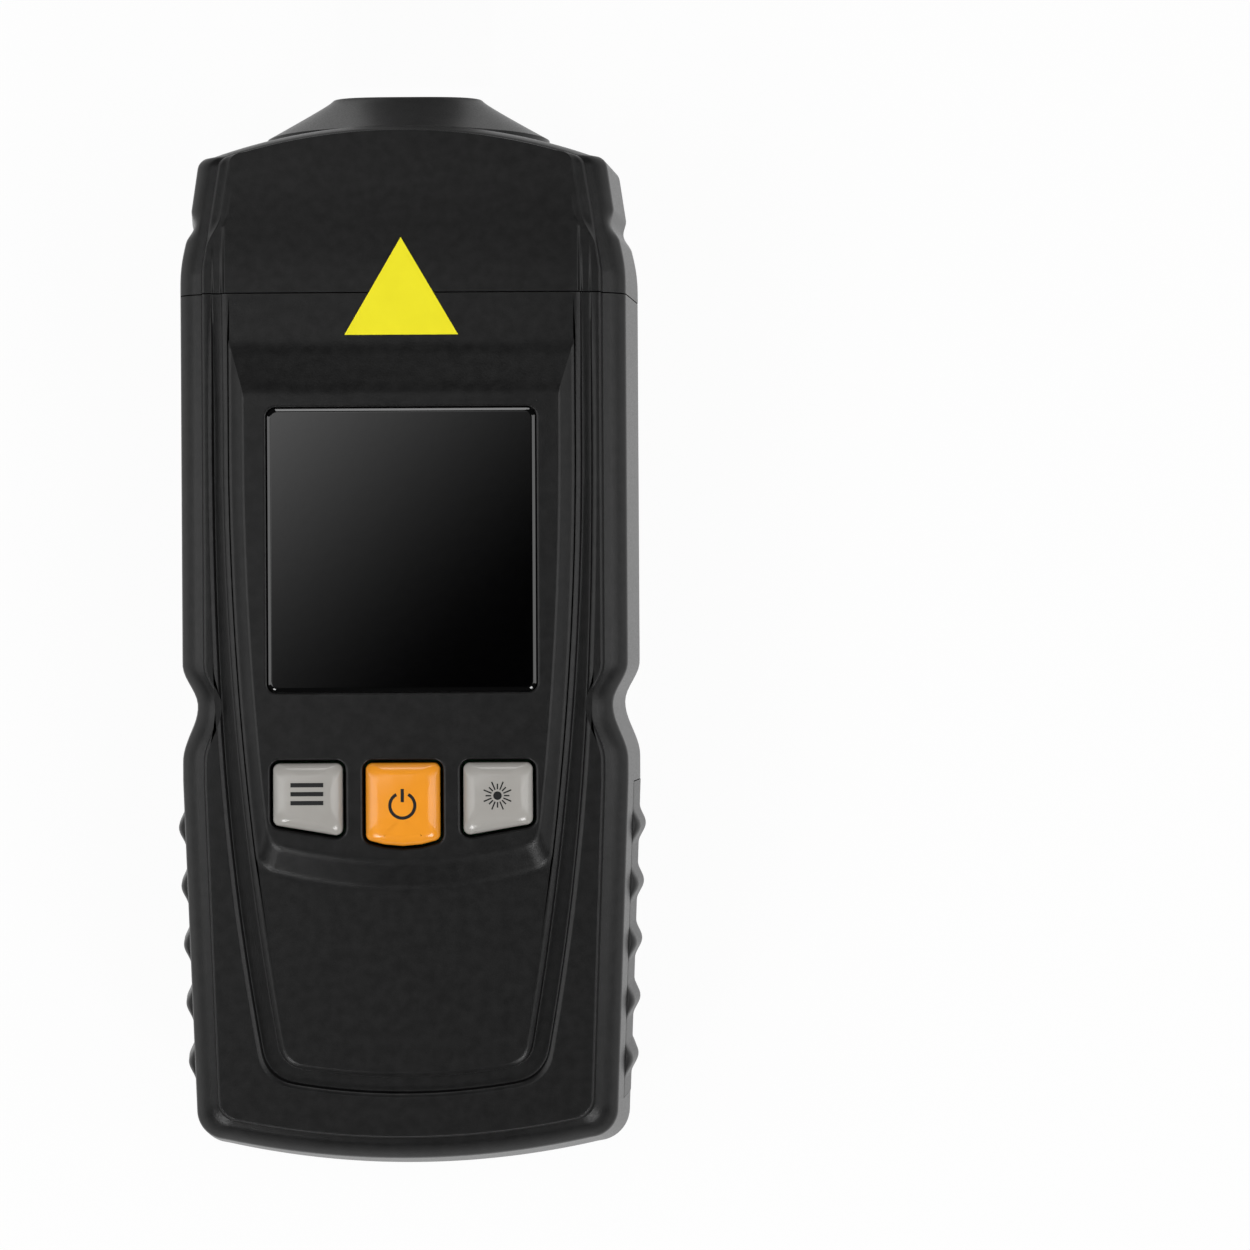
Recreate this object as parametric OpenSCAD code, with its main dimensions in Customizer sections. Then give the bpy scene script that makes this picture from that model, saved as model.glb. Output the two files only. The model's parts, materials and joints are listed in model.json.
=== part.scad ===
// Hand-held laser tachometer, lying on its back.
// +Y points out of the nose, +Z out of the front face, origin under the middle of the back.

/* [Case] */
// Length from the foot to the end of the nose
case_len = 130; // [126:0.5:140]
// Width of the case above the waist
case_w = 56; // [55:0.5:60]
// Depth from the back to the front plate
case_d = 34.8; // [34.4:0.1:37]
// Height of the joint between the front and rear shells
split_z = 19; // [18:0.25:20]
// Wall of the shells at the joint
wall = 3.2; // [2.8:0.1:3.4]
// Thickness of the back wall
back_t = 2.4; // [2.2:0.1:2.8]
// Narrowing on each side per millimetre towards the foot
foot_taper = 0.037; // [0.03:0.001:0.04]
// Distance below the waist where the narrowing starts
taper_down = 9; // [7:0.25:10]
// Radius of the curved foot edge
foot_r = 103; // [90:1:130]
// Corner radius at the foot
foot_corner = 4; // [3:0.1:5]
// Inward draft of the front side wall
front_draft = 1.5; // [1.2:0.1:1.6]
// Further lean of the front wall at the foot
foot_lean = 1; // [0.6:0.1:1.2]
// Height on the side wall where the front shoulder starts to turn
shoulder_z = 31.6; // [29:0.1:32]
// Width of the chamfered front shoulder
shoulder_w = 2.1; // [1.8:0.1:2.4]
// Height of the step from the shoulder to the front plate
plate_step = 1.4; // [1:0.1:1.6]
// Inward draft of the rear side wall
back_draft = 0.4; // [0.2:0.05:0.6]
// Width of the large round along the back edge
back_round = 5.6; // [4.5:0.1:6]
// Height of the large round along the back edge
back_round_h = 10; // [8:0.25:11]

/* [Waist] */
// Place of the waist above the foot as a share of the length
waist_share = 0.43385; // [0.42:0.00005:0.44]
// Depth of the waist on each side
waist_depth = 1.8; // [1:0.1:2.2]
// Length of the flank above the waist
waist_upper = 5; // [4:0.25:6]
// Length of the flank below the waist
waist_lower = 6.6; // [5:0.25:7]

/* [Head] */
// Length of the head cap with the nose
head_len = 24.8; // [24:0.1:26]
// Width of the head at its side notch
head_w = 53.8; // [53:0.1:54.6]
// Narrowing of the head on each side per millimetre
head_taper = 0.15; // [0.1:0.01:0.18]
// Distance of the side notch from the end of the nose
notch_in = 16.5; // [16:0.1:17]
// Depth of the side notch
notch_depth = 0.6; // [0.3:0.05:0.8]
// Half length of the side notch
notch_half = 2; // [1.5:0.1:2.4]
// Distance of the head's top edge from the end of the nose
head_drop = 5.5; // [5:0.1:5.8]
// Radius of the curved top edge
head_r = 68; // [60:1:80]
// Corner radius at the top edge
head_corner = 1.5; // [1:0.1:2]
// Extra chamfer on the head's plate edge
head_chamfer = 0.9; // [0.5:0.1:1.2]
// Wall of the head cap
cap_wall = 3.4; // [3:0.1:3.6]
// Overlap of the shell lips inside the head cap
lip_len = 3.2; // [2.5:0.1:3.4]
// Thickness of the shell lips
lip_t = 1.2; // [1:0.1:1.4]

/* [Nose] */
// Width of the flat end of the nose
nose_tip_w = 18.8; // [18.4:0.1:20]
// Depth of the flat end of the nose
nose_tip_h = 10.4; // [10:0.1:12]
// Width of the nose where it leaves the head
nose_base_w = 34.6; // [33:0.2:36]
// Depth of the nose where it leaves the head
nose_base_h = 27; // [26:0.2:29]
// Length of the nose cone
nose_len = 4.8; // [4.5:0.1:5]
// Width of the window in the nose
nose_window_w = 15.4; // [15.2:0.1:15.8]
// Depth of the window in the nose
nose_window_h = 7.6; // [7.4:0.1:7.8]
// Seat width round the back of the window in the nose
nose_seat = 0.5; // [0.4:0.05:0.6]
// Thickness of the window in the nose
nose_window_t = 1.2; // [1:0.1:1.3]
// Depth of the window below the end of the nose
nose_recess = 0.4; // [0.2:0.05:0.6]

/* [Front face] */
// Depth of the groove below the front plate
groove_depth = 1.2; // [0.8:0.1:1.4]
// Half width of the raised field in its straight upper part as a share of the width
field_share = 0.3777; // [0.375:0.0001:0.38]
// Height of the field above the front plate
field_rise = 0.4; // [0.2:0.05:0.6]
// Distance of the field's lower edge above the foot
field_up = 12.6; // [12.2:0.1:14]
// Groove width beside the field
groove_w = 1.3; // [1.2:0.05:1.4]
// Further groove width gained down to the foot
groove_gain = 0.9; // [0.6:0.05:1]
// Height of the display panel above the field
panel_rise = 1.6; // [1.2:0.1:1.8]
// Ledge between the panel's foot and the groove
panel_ledge = 1; // [0.8:0.05:1.2]
// Width of the panel's side bevels
panel_bevel = 1.5; // [1.2:0.05:1.6]
// Length of the panel's upper bevel
panel_top_bevel = 5.1; // [4:0.1:6]
// Length of the panel's lower bevel
panel_low_bevel = 3.3; // [2.5:0.1:3.6]
// Radius of the panel's lower edge
panel_r = 58; // [50:1:70]

/* [Display] */
// Width of the display window
window_w = 31.5; // [31:0.1:32.4]
// Height of the display window as a share of the length
window_share = 0.25615; // [0.248:0.00005:0.26]
// Distance of the window's middle above the waist as a share of the length
window_up_share = 0.14154; // [0.138:0.00002:0.144]
// Thickness of the display window
window_t = 1.5; // [1.3:0.1:1.6]
// Height of the window above the panel
window_proud = 0.15; // [0.05:0.05:0.3]
// Panel margin above the window
window_margin = 2.25; // [1.8:0.05:2.8]
// Seat width under the window edge
window_seat = 1.5; // [1.2:0.1:1.8]
// Thickness of the display glass
glass_t = 2; // [1.6:0.1:2.2]
// Thickness of the light guide
guide_t = 3; // [2:0.1:3.6]

/* [Keys] */
// Gap between the window and the keys
key_drop = 8.4; // [8:0.1:9]
// Width of the middle key
power_w = 8.72; // [8.2:0.02:9.2]
// Height of the middle key along its middle
power_h = 9.75; // [9.2:0.05:10.2]
// Crown of the middle key's lower edge
power_crown = 0.75; // [0.4:0.05:1]
// Distance of an outer key from the edge of the field
key_margin = 5.9; // [5.8:0.05:6.4]
// Gap between the middle key and an outer key
key_gap = 2.74; // [2.4:0.02:2.9]
// Height of an outer key on its outer side
side_key_h = 7.2; // [6.8:0.05:7.6]
// Extra height of an outer key on its inner side
side_key_slant = 1.4; // [0.8:0.05:1.8]
// Corner radius of the keys
key_r = 0.8; // [0.6:0.05:1]
// Clearance round a key
key_clear = 0.35; // [0.3:0.01:0.4]
// Height of the keys above the panel
key_proud = 1.2; // [0.9:0.05:1.6]
// Flange that keeps a key in its hole
key_flange = 0.75; // [0.6:0.01:0.8]
// Travel of a key
key_travel = 0.8; // [0.4:0.05:0.9]

/* [Grips] */
// Number of ribs on each side grip
rib_count = 5; // [3:1:5]
// Distance between ribs
rib_pitch = 7.07; // [6.4:0.01:7.1]
// Length of a rib along the case
rib_w = 4.8; // [3.6:0.1:5.6]
// Height of a rib
rib_proud = 0.8; // [0.4:0.05:0.9]
// Distance of the first rib below the waist
rib_down = 14.9; // [14.6:0.1:15.6]
// Length of plain grip before the first rib and after the last
grip_margin = 5.4; // [4:0.1:6]
// Lower end of the grips above the back
grip_z0 = 9; // [8.5:0.25:11]
// Upper end of the grips above the back
grip_z1 = 26; // [24:0.25:26.5]
// Depth of the grip pockets
grip_depth = 1.4; // [1:0.1:1.6]

/* [Battery] */
// Length of the battery case without its terminals
batt_len = 46.3; // [45:0.1:47]
// Width of the battery
batt_w = 26.5; // [25.5:0.1:26.8]
// Thickness of the battery
batt_t = 17.5; // [16.5:0.1:17.6]
// Height of the battery terminals
terminal_h = 2.3; // [1.9:0.1:2.5]
// Distance of the battery above the foot
batt_up = 5.2; // [5:0.1:5.6]
// Thickness of the snap connector
snap_t = 3.4; // [3:0.1:3.8]
// Wall of the battery bay
bay_wall = 1.5; // [1.2:0.1:1.6]
// Height of the battery bay walls
bay_h = 14; // [10:0.5:14.5]
// Width of the battery door
door_w = 29; // [28.6:0.1:29.4]
// Thickness of the battery door
door_t = 2.2; // [2:0.05:2.3]
// Width of the tongues along the door
tongue_w = 1; // [0.8:0.05:1.1]
// Thickness of the tongues along the door
tongue_t = 0.8; // [0.6:0.05:0.9]

/* [Boards] */
// Width of the main board
board_w = 32.4; // [31.8:0.1:33]
// Thickness of the boards
board_t = 1.6; // [1.4:0.1:1.7]
// Height of the main board's rear face
board_z = 24; // [23.6:0.1:24.3]
// Side of a key switch
switch_w = 6; // [5.6:0.1:6.2]
// Height of a key switch housing
switch_h = 3.5; // [3.2:0.1:3.8]
// Diameter of a switch plunger
plunger_d = 3.4; // [3:0.1:3.6]

/* [Optics] */
// Diameter of the optics block
optics_d = 17.6; // [17.2:0.1:17.9]
// Distance of the laser and the receiver from the nose axis
optics_x = 3.9; // [3.7:0.05:4]
// Diameter of the laser barrel
laser_d = 6; // [5.6:0.1:6.2]
// Diameter of the receiver lens
lens_d = 7; // [6.6:0.1:7.1]
// Thickness of the optics flange
flange_t = 2.1; // [1.8:0.1:2.4]

/* [Fasteners] */
// Thread diameter of the case screws
case_screw_d = 2.9; // [2.5:0.1:3]
// Head diameter of the case screws
case_head_d = 5; // [4.8:0.1:5.2]
// Thread diameter of the small screws
small_screw_d = 2; // [1.8:0.1:2.1]
// Head diameter of the small screws
small_head_d = 3.8; // [3.5:0.1:4]

/* [Fits] */
// Clearance between fixed pieces
fit = 0.1; // [0.05:0.01:0.15]
// Clearance round a screw thread
thread_fit = 0.03; // [0.02:0.01:0.05]
// Clearance between pieces that slide
slide_fit = 0.3; // [0.25:0.01:0.32]

/* [Hidden] */
$fn = 48;
eps = 0.5;

// Heights above the back
shoulder_top = case_d - plate_step;
field_z = case_d + field_rise;
panel_z = field_z + panel_rise;
groove_z = case_d - groove_depth;
ceiling_z = groove_z - 1.4;
roof_z = panel_z - 2.4;
window_z = panel_z + window_proud;
glass_z = roof_z - fit;
board_top = board_z + board_t;
key_top = panel_z + key_proud;
flange_top = roof_z - fit;
flange_z = flange_top - 1.1;
switch_top = board_top + switch_h;
plunger_z0 = board_top + 0.8 + key_travel + slide_fit;
plunger_top = switch_top + 2.5;

// Places along the case
foot_y = -case_len / 2;
tip_y = case_len / 2;
seam_y = tip_y - head_len;
notch_y = tip_y - notch_in;
head_y = tip_y - head_drop;
waist_y = foot_y + waist_share * case_len;
window_h = window_share * case_len;
window_y = waist_y + window_up_share * case_len;
panel_y1 = window_y + window_h / 2 + window_margin;
key_y = window_y - window_h / 2 - key_drop;
panel_y0 = key_y - power_h - 1.85;
groove_end = notch_y - 1;
field_y = foot_y + field_up;
cap_end = head_y - cap_wall;

// Places across the case
field_hw = field_share * case_w;
side_key_w = field_hw - key_margin - power_w / 2 - key_gap;
side_key_x = power_w / 2 + key_gap + side_key_w / 2;
cap_hw = head_w / 2 - notch_depth - cap_wall;
door_y = foot_y + batt_up + batt_len + snap_t + 1.9;
bay_end = door_y - 0.3;
batt_z = back_t + fit;
batt_y = foot_y + batt_up;
rail_x = door_w / 2 + slide_fit;
boss_gap = 0.4;
boss_in = 5.7;
boss_up = 12.5;
boss_r = case_head_d / 2 + 1.1;
case_spots = [[board_w / 2 + boss_r + boss_gap, seam_y - boss_in],
    [rail_x + boss_r + 1.5 * boss_gap, foot_y + boss_up]];
cap_screw_x = 16;
cap_screw_in = 4.8;
cap_spots = [for (s = [-1, 1]) [s * cap_screw_x, seam_y + cap_screw_in]];
board_y1 = seam_y - 3.7;
board_y0 = panel_y0 - 3;
board_screw_x = board_w / 2 - 3;
board_screw_in = 2.6;
board_spots = [for (s = [-1, 1], y = [board_y0 + board_screw_in, board_y1 - board_screw_in])
    [s * board_screw_x, y]];
sensor_y = cap_end - 9.9;
tongue_hw = 6;

// Parts on the boards, as widths, lengths and heights
chip_w = 12;
chip_h = 1.6;
crystal_w = 4.6;
crystal_len = 10.5;
crystal_h = 3.5;
crystal_r = 1.9;
capacitor_d = 4;
capacitor_h = 5.4;
capacitor_x = 11;
capacitor_in = 9;
cushion_w = 20;
cushion_len = 10;
cushion_in = 1.35;
sensor_w = 22;
sensor_h = 19;
diode_d = 5;
diode_h = 4;
lens_t = 2;
lens_r = 9;
ear_w = 3;
ear_h = 10;

// Room for the battery, the seats of the door and the tabs under the cap screws
bay_gap = 0.45;
batt_gap = 0.3;
rail_w = 3;
rail_h = 3.2;
rail_z = 1;
tab_w = 8;
tab_end = 3.2;

// Lengths of thread in the bosses and the seats of the screw heads
case_thread = 9;
case_seat = 8;
case_head_h = 2.1;
board_thread = 4.5;
small_head_h = 1.4;
cap_head_h = 1;
cap_screw_len = 4.6;
head_clear = 0.2;
bore_spare = 0.5;

// Places along the nose
window_seat_y = tip_y - nose_recess - nose_window_t;
optics_y = window_seat_y - 1.3;
optics_ear = 11.6;
nose_square = 0.6;
optics_thread = 4;
barrel_in = 1.4;
barrel_wall = 1;
barrel_len = optics_y - fit - barrel_in - sensor_y - board_t;

// Place where the chamfer of the shoulder is fullest, as shares of its width and height
shoulder_in = 0.43;
shoulder_up = 0.57;

// Steps of the edge between shoulder and plate, and the draft along the axis of the head
plate_ledge = 0.3;
plate_lean = 0.6;
head_draft = 0.35;

// Curves of the field, the groove and the panel
field_reach = 31.1;
field_straight = waist_y + field_reach;
field_curve = 0.00122;
field_r = 74;
field_corner = 3;
groove_r = 76;
groove_corner = 4.5;
panel_corner = 2.6;
face_ys = [for (k = [-0.67, -0.19, 0.29, 0.65, 1]) waist_y + k * field_reach];
panel_ys = [for (k = [-0.19, 0.13, 0.45, 0.77]) waist_y + k * field_reach];
pocket_gain = 0.5;
pocket_corner = 1.5;

// Flat triangle that points along the beam
marker_w = 13.4;
marker_h = 11.5;
marker_t = 0.12;
marker_y = panel_y1 + panel_top_bevel + 1.4;

// Display stack
window_edge = 0.3;
stack_w = window_w - 1;
stack_h = window_h + 0.4;
stack_z = glass_z - glass_t;
guide_w = stack_w - 2.6;
guide_h = stack_h - 8;
strip_w = stack_w - 4;
strip_t = 1.4;
strip_in = 1.6;

// Battery terminals and leads
terminals = [[-6.35, 5.7], [6.35, 8.2]];
lead_d = 1.2;
lead_y = batt_y + batt_len + fit + snap_t;
lead_z = batt_z + batt_t / 2 + 5;
lead_x = 5;
lead_out = 1;
lead_run = 5.2;
lead_rise = 5;
crystal_y = lead_y + lead_run + lead_d + crystal_len / 2 + 2;

function smooth(t) = let (u = min(1, max(0, t))) u * u * (3 - 2 * u);
function dip(t) = abs(t) >= 1 ? 0 : (1 + cos(180 * t)) / 2;

// Half width of the case at its joint, at a place y along it
function trunk_hw(y) = case_w / 2 - foot_taper * max(0, waist_y - taper_down - y)
    - waist_depth * dip((y - waist_y) / (y > waist_y ? waist_upper : waist_lower));
function crown_hw(y) = head_w / 2 - head_taper * (y - notch_y);
function half_w(y) = let (s = smooth((y - notch_y + 8) / 8))
    trunk_hw(y) * (1 - s) + crown_hw(y) * s - notch_depth * dip((y - notch_y) / notch_half);

// Half width of the raised field and of the panel on it
function field_w(y) = field_hw - field_curve * pow(max(0, field_straight - y), 2);
function groove_out(y) = field_w(y) + groove_w + groove_gain * smooth((field_straight - 2 - y) / 60);

// Right half of a U outline: a curved lower edge, a corner arc and a side w(y) through the stations ys
function u_half(w, edge_r, y0, corner, ys, n_edge = 8, n_corner = 5) =
    let (x_c = w(y0 + corner),
        y_c = y0 + edge_r - sqrt(edge_r * edge_r - x_c * x_c),
        tilt = asin(x_c / edge_r),
        lean = atan((w(y_c + 6) - w(y_c + 2)) / 4),
        run = corner / tan((90 + tilt + lean) / 2),
        c = [w(y_c) + run * sin(lean) - corner * cos(lean), y_c + run * cos(lean) + corner * sin(lean)],
        x_e = c[0] + corner * sin(tilt))
    concat(
        [for (k = [0 : n_edge - 1]) let (x = x_e * (k + 0.5) / (n_edge + 0.5))
            [x, y0 + edge_r - sqrt(edge_r * edge_r - x * x)]],
        [for (k = [0 : n_corner]) let (a = (tilt - 90) * (1 - k / n_corner) - lean * k / n_corner)
            c + corner * [cos(a), sin(a)]],
        [for (y = ys) [w(y), y]]);
function mirrored(half) = concat(half, [for (k = [len(half) - 1 : -1 : 0]) [-half[k][0], half[k][1]]]);
function turned(ring) = [for (p = ring) [-p[0], -p[1]]];
function lifted(ring, z) = [for (p = ring) [p[0], p[1], z]];

// Convex polygon with rounded corners, and the same moved inwards
function unit(v) = v / norm(v);
function inset(pts, d) = let (n = len(pts)) [for (i = [0 : n - 1])
    let (a = unit(pts[(i + n - 1) % n] - pts[i]), b = unit(pts[(i + 1) % n] - pts[i]),
        half = acos(a * b) / 2)
    pts[i] + unit(a + b) * d / sin(half)];
function rounded(pts, r, steps = 4) = let (n = len(pts)) [for (i = [0 : n - 1])
    let (a = unit(pts[(i + n - 1) % n] - pts[i]), b = unit(pts[(i + 1) % n] - pts[i]),
        half = acos(a * b) / 2,
        c = pts[i] + unit(a + b) * r / sin(half),
        from = pts[i] + a * r / tan(half) - c,
        start = atan2(from[1], from[0]))
    for (k = [0 : steps]) let (t = start + (180 - 2 * half) * k / steps) c + r * [cos(t), sin(t)]];
function rectangle(w, h) = [[-w / 2, -h / 2], [w / 2, -h / 2], [w / 2, h / 2], [-w / 2, h / 2]];

// Solid through a stack of rings with equally many points
module loft(rings) {
    n = len(rings[0]);
    m = len(rings);
    top = (m - 1) * n;
    sides = [for (k = [0 : m - 2], i = [0 : n - 1]) let (j = (i + 1) % n, a = k * n, b = a + n)
        each [[a + i, b + i, b + j], [a + i, b + j, a + j]]];
    lids = [for (k = [0 : ceil(n / 2) - 2]) let (a = k, b = k + 1, c = n - 2 - k, d = n - 1 - k)
        each concat([[a, b, d], [top + a, top + d, top + b]],
            b == c ? [] : [[b, c, d], [top + b, top + d, top + c]])];
    polyhedron([for (r = rings) each r], concat(lids, sides), convexity = 8);
}

// Solid with rounded plan corners and an edge that turns over through [height, inset] steps
module cushion(pts, r, steps) {
    loft([for (s = steps) lifted(rounded(inset(pts, s[1]), max(r - s[1], 0.15)), s[0])]);
}

// Tube swept along points, with eight sides
module lead(points, d) {
    n = len(points);
    loft([for (i = [0 : n - 1])
        let (t = unit(points[min(i + 1, n - 1)] - points[max(i - 1, 0)]),
            u = unit(cross([1, 0, 0], t)), v = cross(t, u))
        [for (a = [0 : 45 : 315]) points[i] + d / 2 * (cos(a) * u + sin(a) * v)]]);
}

module screw(d, head, head_h, len) {
    translate([0, 0, -head_h / 4]) cylinder(d = d, h = len + head_h / 4);
    translate([0, 0, -head_h]) difference() {
        cylinder(d = head, h = head_h);
        for (a = [0, 90])
            rotate(a) translate([-head * 0.32, -0.3, -1]) cube([head * 0.64, 0.6, 1 + head_h * 0.55]);
    }
}

// Rings of the case
shoulder = [for (s = [[0, 0], [shoulder_in, shoulder_up], [1, 1]])
    [front_draft + shoulder_w * s[0], shoulder_z + (shoulder_top - shoulder_z) * s[1]]];
plate_edge = front_draft + shoulder_w + plate_ledge;
plate_in = plate_edge + plate_lean;
front_steps = concat([[0, split_z]], shoulder,
    [[plate_edge, shoulder_top + plate_ledge / 2], [plate_edge + 0.4 * plate_lean, case_d - plate_step / 2],
        [plate_in, case_d]]);
back_steps = [for (a = [90 : -18 : 0])
    [back_draft + back_round * (1 - cos(a)), back_round_h * (1 - sin(a))]];
waist_ys = concat([for (k = [0 : 6]) waist_y - waist_lower * (1 - k / 6)],
    [for (k = [1 : 6]) waist_y + waist_upper * k / 6]);

function foot_in(z) = foot_lean * max(0, min(1, (z - split_z) / (shoulder_z - split_z)));
function trunk_ring(d, z, end = seam_y) = lifted(mirrored(u_half(function(y) half_w(y) - d, foot_r - d,
    foot_y + d + foot_in(z), max(foot_corner - d * 0.35, 1), concat(waist_ys, [end]))), z);
function head_ring(d, top_d, z, chamfer = 0) =
    let (ys = concat([for (k = [4 : -1 : -4]) notch_y + notch_half * k / 4],
        [for (k = [2 : -1 : 0]) seam_y + (notch_y - notch_half - seam_y) * k / 3]))
    lifted(turned(mirrored(u_half(
        function(y) half_w(-y) - d - chamfer * smooth((-y - notch_y + 3) / 4),
        head_r, -head_y - plate_in * head_draft + top_d, head_corner, -ys))), z);

// Ring of the nose: an ellipse, squarer where the power falls below one
function bend(v, power) = sign(v) * pow(abs(v), power);
function nose_ring(a, b, y, power = 1) = [for (k = [0 : 63]) let (t = 360 * (k + 0.5) / 64)
    [a * bend(sin(t), power), y, split_z + b * bend(cos(t), power)]];
function nose_slot(grow) = rounded(rectangle(nose_window_w + 2 * grow, nose_window_h + 2 * grow),
    nose_window_h / 2 + grow - fit);

// Half outlines of the front face
function field_half(top) = u_half(function(y) field_w(y), field_r, field_y, field_corner,
    concat(face_ys, [top]));
function groove_half(top) = u_half(function(y) groove_out(y), groove_r,
    field_y - groove_w - groove_gain + slide_fit, groove_corner, concat(face_ys, [top]));
function panel_ring(d, y0, y1, z) = lifted(mirrored(u_half(function(y) field_w(y) - panel_ledge - d,
    panel_r, y0, panel_corner, concat(panel_ys, [y1]))), z);

module field(y0, y1) {
    translate([0, 0, ceiling_z + 0.7]) linear_extrude(field_z - ceiling_z - 0.7)
        intersection() {
            polygon(mirrored(field_half(groove_end + 4)));
            translate([-case_w, y0]) square([2 * case_w, y1 - y0]);
        }
}

module groove_cut(y1) {
    translate([0, 0, groove_z]) linear_extrude(10) polygon(mirrored(groove_half(y1)));
}

// Key outlines: the middle one with a crowned lower edge, the outer ones with a slanted one
power_pts = concat([for (k = [-1 : 0.5 : 1]) [k * power_w / 2, key_y - power_h + power_crown * k * k]],
    [[power_w / 2, key_y], [-power_w / 2, key_y]]);
function side_key_pts(s) = let (x_in = s * (power_w / 2 + key_gap), x_out = x_in + s * side_key_w,
    low = key_y - side_key_h,
    pts = [[x_in, low - side_key_slant], [x_out, low], [x_out, key_y], [x_in, key_y]])
    s > 0 ? pts : [pts[1], pts[0], pts[3], pts[2]];
key_outlines = [side_key_pts(-1), power_pts, side_key_pts(1)];
switch_spots = [for (x = [-side_key_x, 0, side_key_x]) [x, key_y - power_h / 2 + 0.4]];

module key(i) {
    pts = key_outlines[i];
    cushion(pts, key_r, [[flange_top - 0.02, 0], [key_top - 0.7, 0], [key_top - 0.3, 0.15],
        [key_top - 0.08, 0.5], [key_top, 1.4]]);
    translate([0, 0, flange_z]) linear_extrude(flange_top - flange_z)
        polygon(rounded(inset(pts, -key_flange), key_r));
    translate([each switch_spots[i], plunger_top])
        cylinder(d = plunger_d + 1, h = flange_z - plunger_top + 0.01);
}

module plunger(i) {
    translate([each switch_spots[i], plunger_z0]) cylinder(d = plunger_d, h = plunger_top - plunger_z0);
}

module front_shell() color("#26282a") difference() {
    union() {
        difference() {
            loft([for (s = front_steps) trunk_ring(s[0], s[1])]);
            loft([trunk_ring(wall, split_z - eps, seam_y + eps),
                trunk_ring(wall + 1.4, ceiling_z, seam_y + eps)]);
            groove_cut(seam_y + eps);
            grip_pockets();
        }
        field(foot_y, seam_y);
        loft([panel_ring(-0.3 * panel_bevel / panel_rise, panel_y0 - panel_low_bevel * 1.2,
                panel_y1 + panel_top_bevel * 1.2, field_z - 0.2 * panel_rise),
            panel_ring(panel_bevel, panel_y0, panel_y1, panel_z)]);
        for (p = case_spots, s = [-1, 1])
            translate([s * p[0], p[1], split_z]) cylinder(r = boss_r, h = ceiling_z - split_z + eps);
        for (p = board_spots)
            translate([p[0], p[1], board_top])
                cylinder(d = small_head_d + 1, h = ceiling_z - board_top + eps);
        lip(split_z, ceiling_z - fit, 1);
    }
    translate([0, 0, ceiling_z - eps]) linear_extrude(roof_z - ceiling_z + eps) polygon(mirrored(
        u_half(function(y) field_w(y) - panel_ledge - panel_bevel + pocket_gain, panel_r,
            panel_y0 - pocket_gain, pocket_corner, concat(panel_ys, [panel_y1 - fit]))));
    translate([0, window_y, window_z - window_t]) linear_extrude(window_t + eps)
        polygon(rounded(rectangle(window_w + 2 * fit, window_h + 2 * fit), 1.1));
    translate([0, window_y, roof_z - eps]) linear_extrude(panel_z - roof_z)
        polygon(rounded(rectangle(window_w - 2 * window_seat, window_h - 2 * window_seat), 1));
    for (pts = key_outlines)
        translate([0, 0, roof_z - eps]) linear_extrude(panel_z - roof_z + 2 * eps)
            polygon(rounded(inset(pts, -key_clear), key_r + key_clear));
    for (p = case_spots, s = [-1, 1])
        translate([s * p[0], p[1], split_z - eps])
            cylinder(d = case_screw_d + 2 * thread_fit, h = case_thread + eps + bore_spare);
    for (p = board_spots)
        translate([p[0], p[1], board_top - eps])
            cylinder(d = small_screw_d + 2 * thread_fit, h = board_thread + eps + bore_spare);
}

// Lip that a shell carries into the head cap, from the joint to a wall at z1
module lip(z0, z1, side) {
    outer = cap_hw - fit;
    inner = outer - lip_t;
    low = min(z0, z1);
    tall = abs(z1 - z0);
    shift = side > 0 ? -eps : lip_t;
    difference() {
        union() {
            translate([-outer, seam_y - 2, low]) cube([2 * outer, lip_len + 2, tall]);
            translate([-half_w(seam_y) + wall - 0.6, seam_y - 2, low])
                cube([2 * (half_w(seam_y) - wall + 0.6), 2 - 0.02, tall]);
        }
        translate([-inner, seam_y - 3, low + shift]) cube([2 * inner, lip_len + 4, tall - lip_t + eps]);
    }
}

function side_in(z) = z > split_z ? front_draft * (z - split_z) / (shoulder_z - split_z)
    : back_draft * (split_z - z) / (split_z - back_round_h);
grip_y1 = waist_y - rib_down + grip_margin;
grip_y0 = waist_y - rib_down - (rib_count - 1) * rib_pitch - grip_margin + 1;
function rib_y(k) = waist_y - rib_down - k * rib_pitch;

// Grip section at a height z, with its ribs as cosine swells raised to a share of their height
function grip_ring(z, share) =
    let (turns = [-1, -0.7, -0.35, 0, 0.35, 0.7, 1],
        out = concat([[grip_y0, 0]],
            [for (k = [rib_count - 1 : -1 : 0], t = turns) [rib_y(k) + t * rib_w / 2, (1 + cos(180 * t)) / 2]],
            [[grip_y1, 0]]),
        n = len(out))
    concat([for (p = out) [half_w(p[0]) - side_in(z) + rib_proud * share * p[1], p[0], z]],
        [for (k = [n - 1 : -1 : 0]) [half_w(out[k][0]) - grip_depth, out[k][0], z]]);

module side_grip() color("#1c1d1e") loft([grip_ring(grip_z0, 0), grip_ring(grip_z0 + 0.5, 0.7),
    grip_ring(grip_z0 + 1.6, 1), grip_ring(split_z, 1), grip_ring(grip_z1 - 1.6, 1),
    grip_ring(grip_z1 - 0.5, 0.7), grip_ring(grip_z1, 0)]);

module side_grip_right() side_grip();
module side_grip_left() mirror([1, 0, 0]) side_grip();

module grip_pockets() {
    for (s = [0, 1])
        mirror([s, 0, 0]) translate([0, 0, grip_z0 - fit]) linear_extrude(grip_z1 - grip_z0 + 2 * fit)
            polygon([for (y = [grip_y0 - fit, grip_y1 + fit]) [half_w(y) - grip_depth - fit, y],
                [case_w, grip_y1 + fit], [case_w, grip_y0 - fit]]);
}

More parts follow.
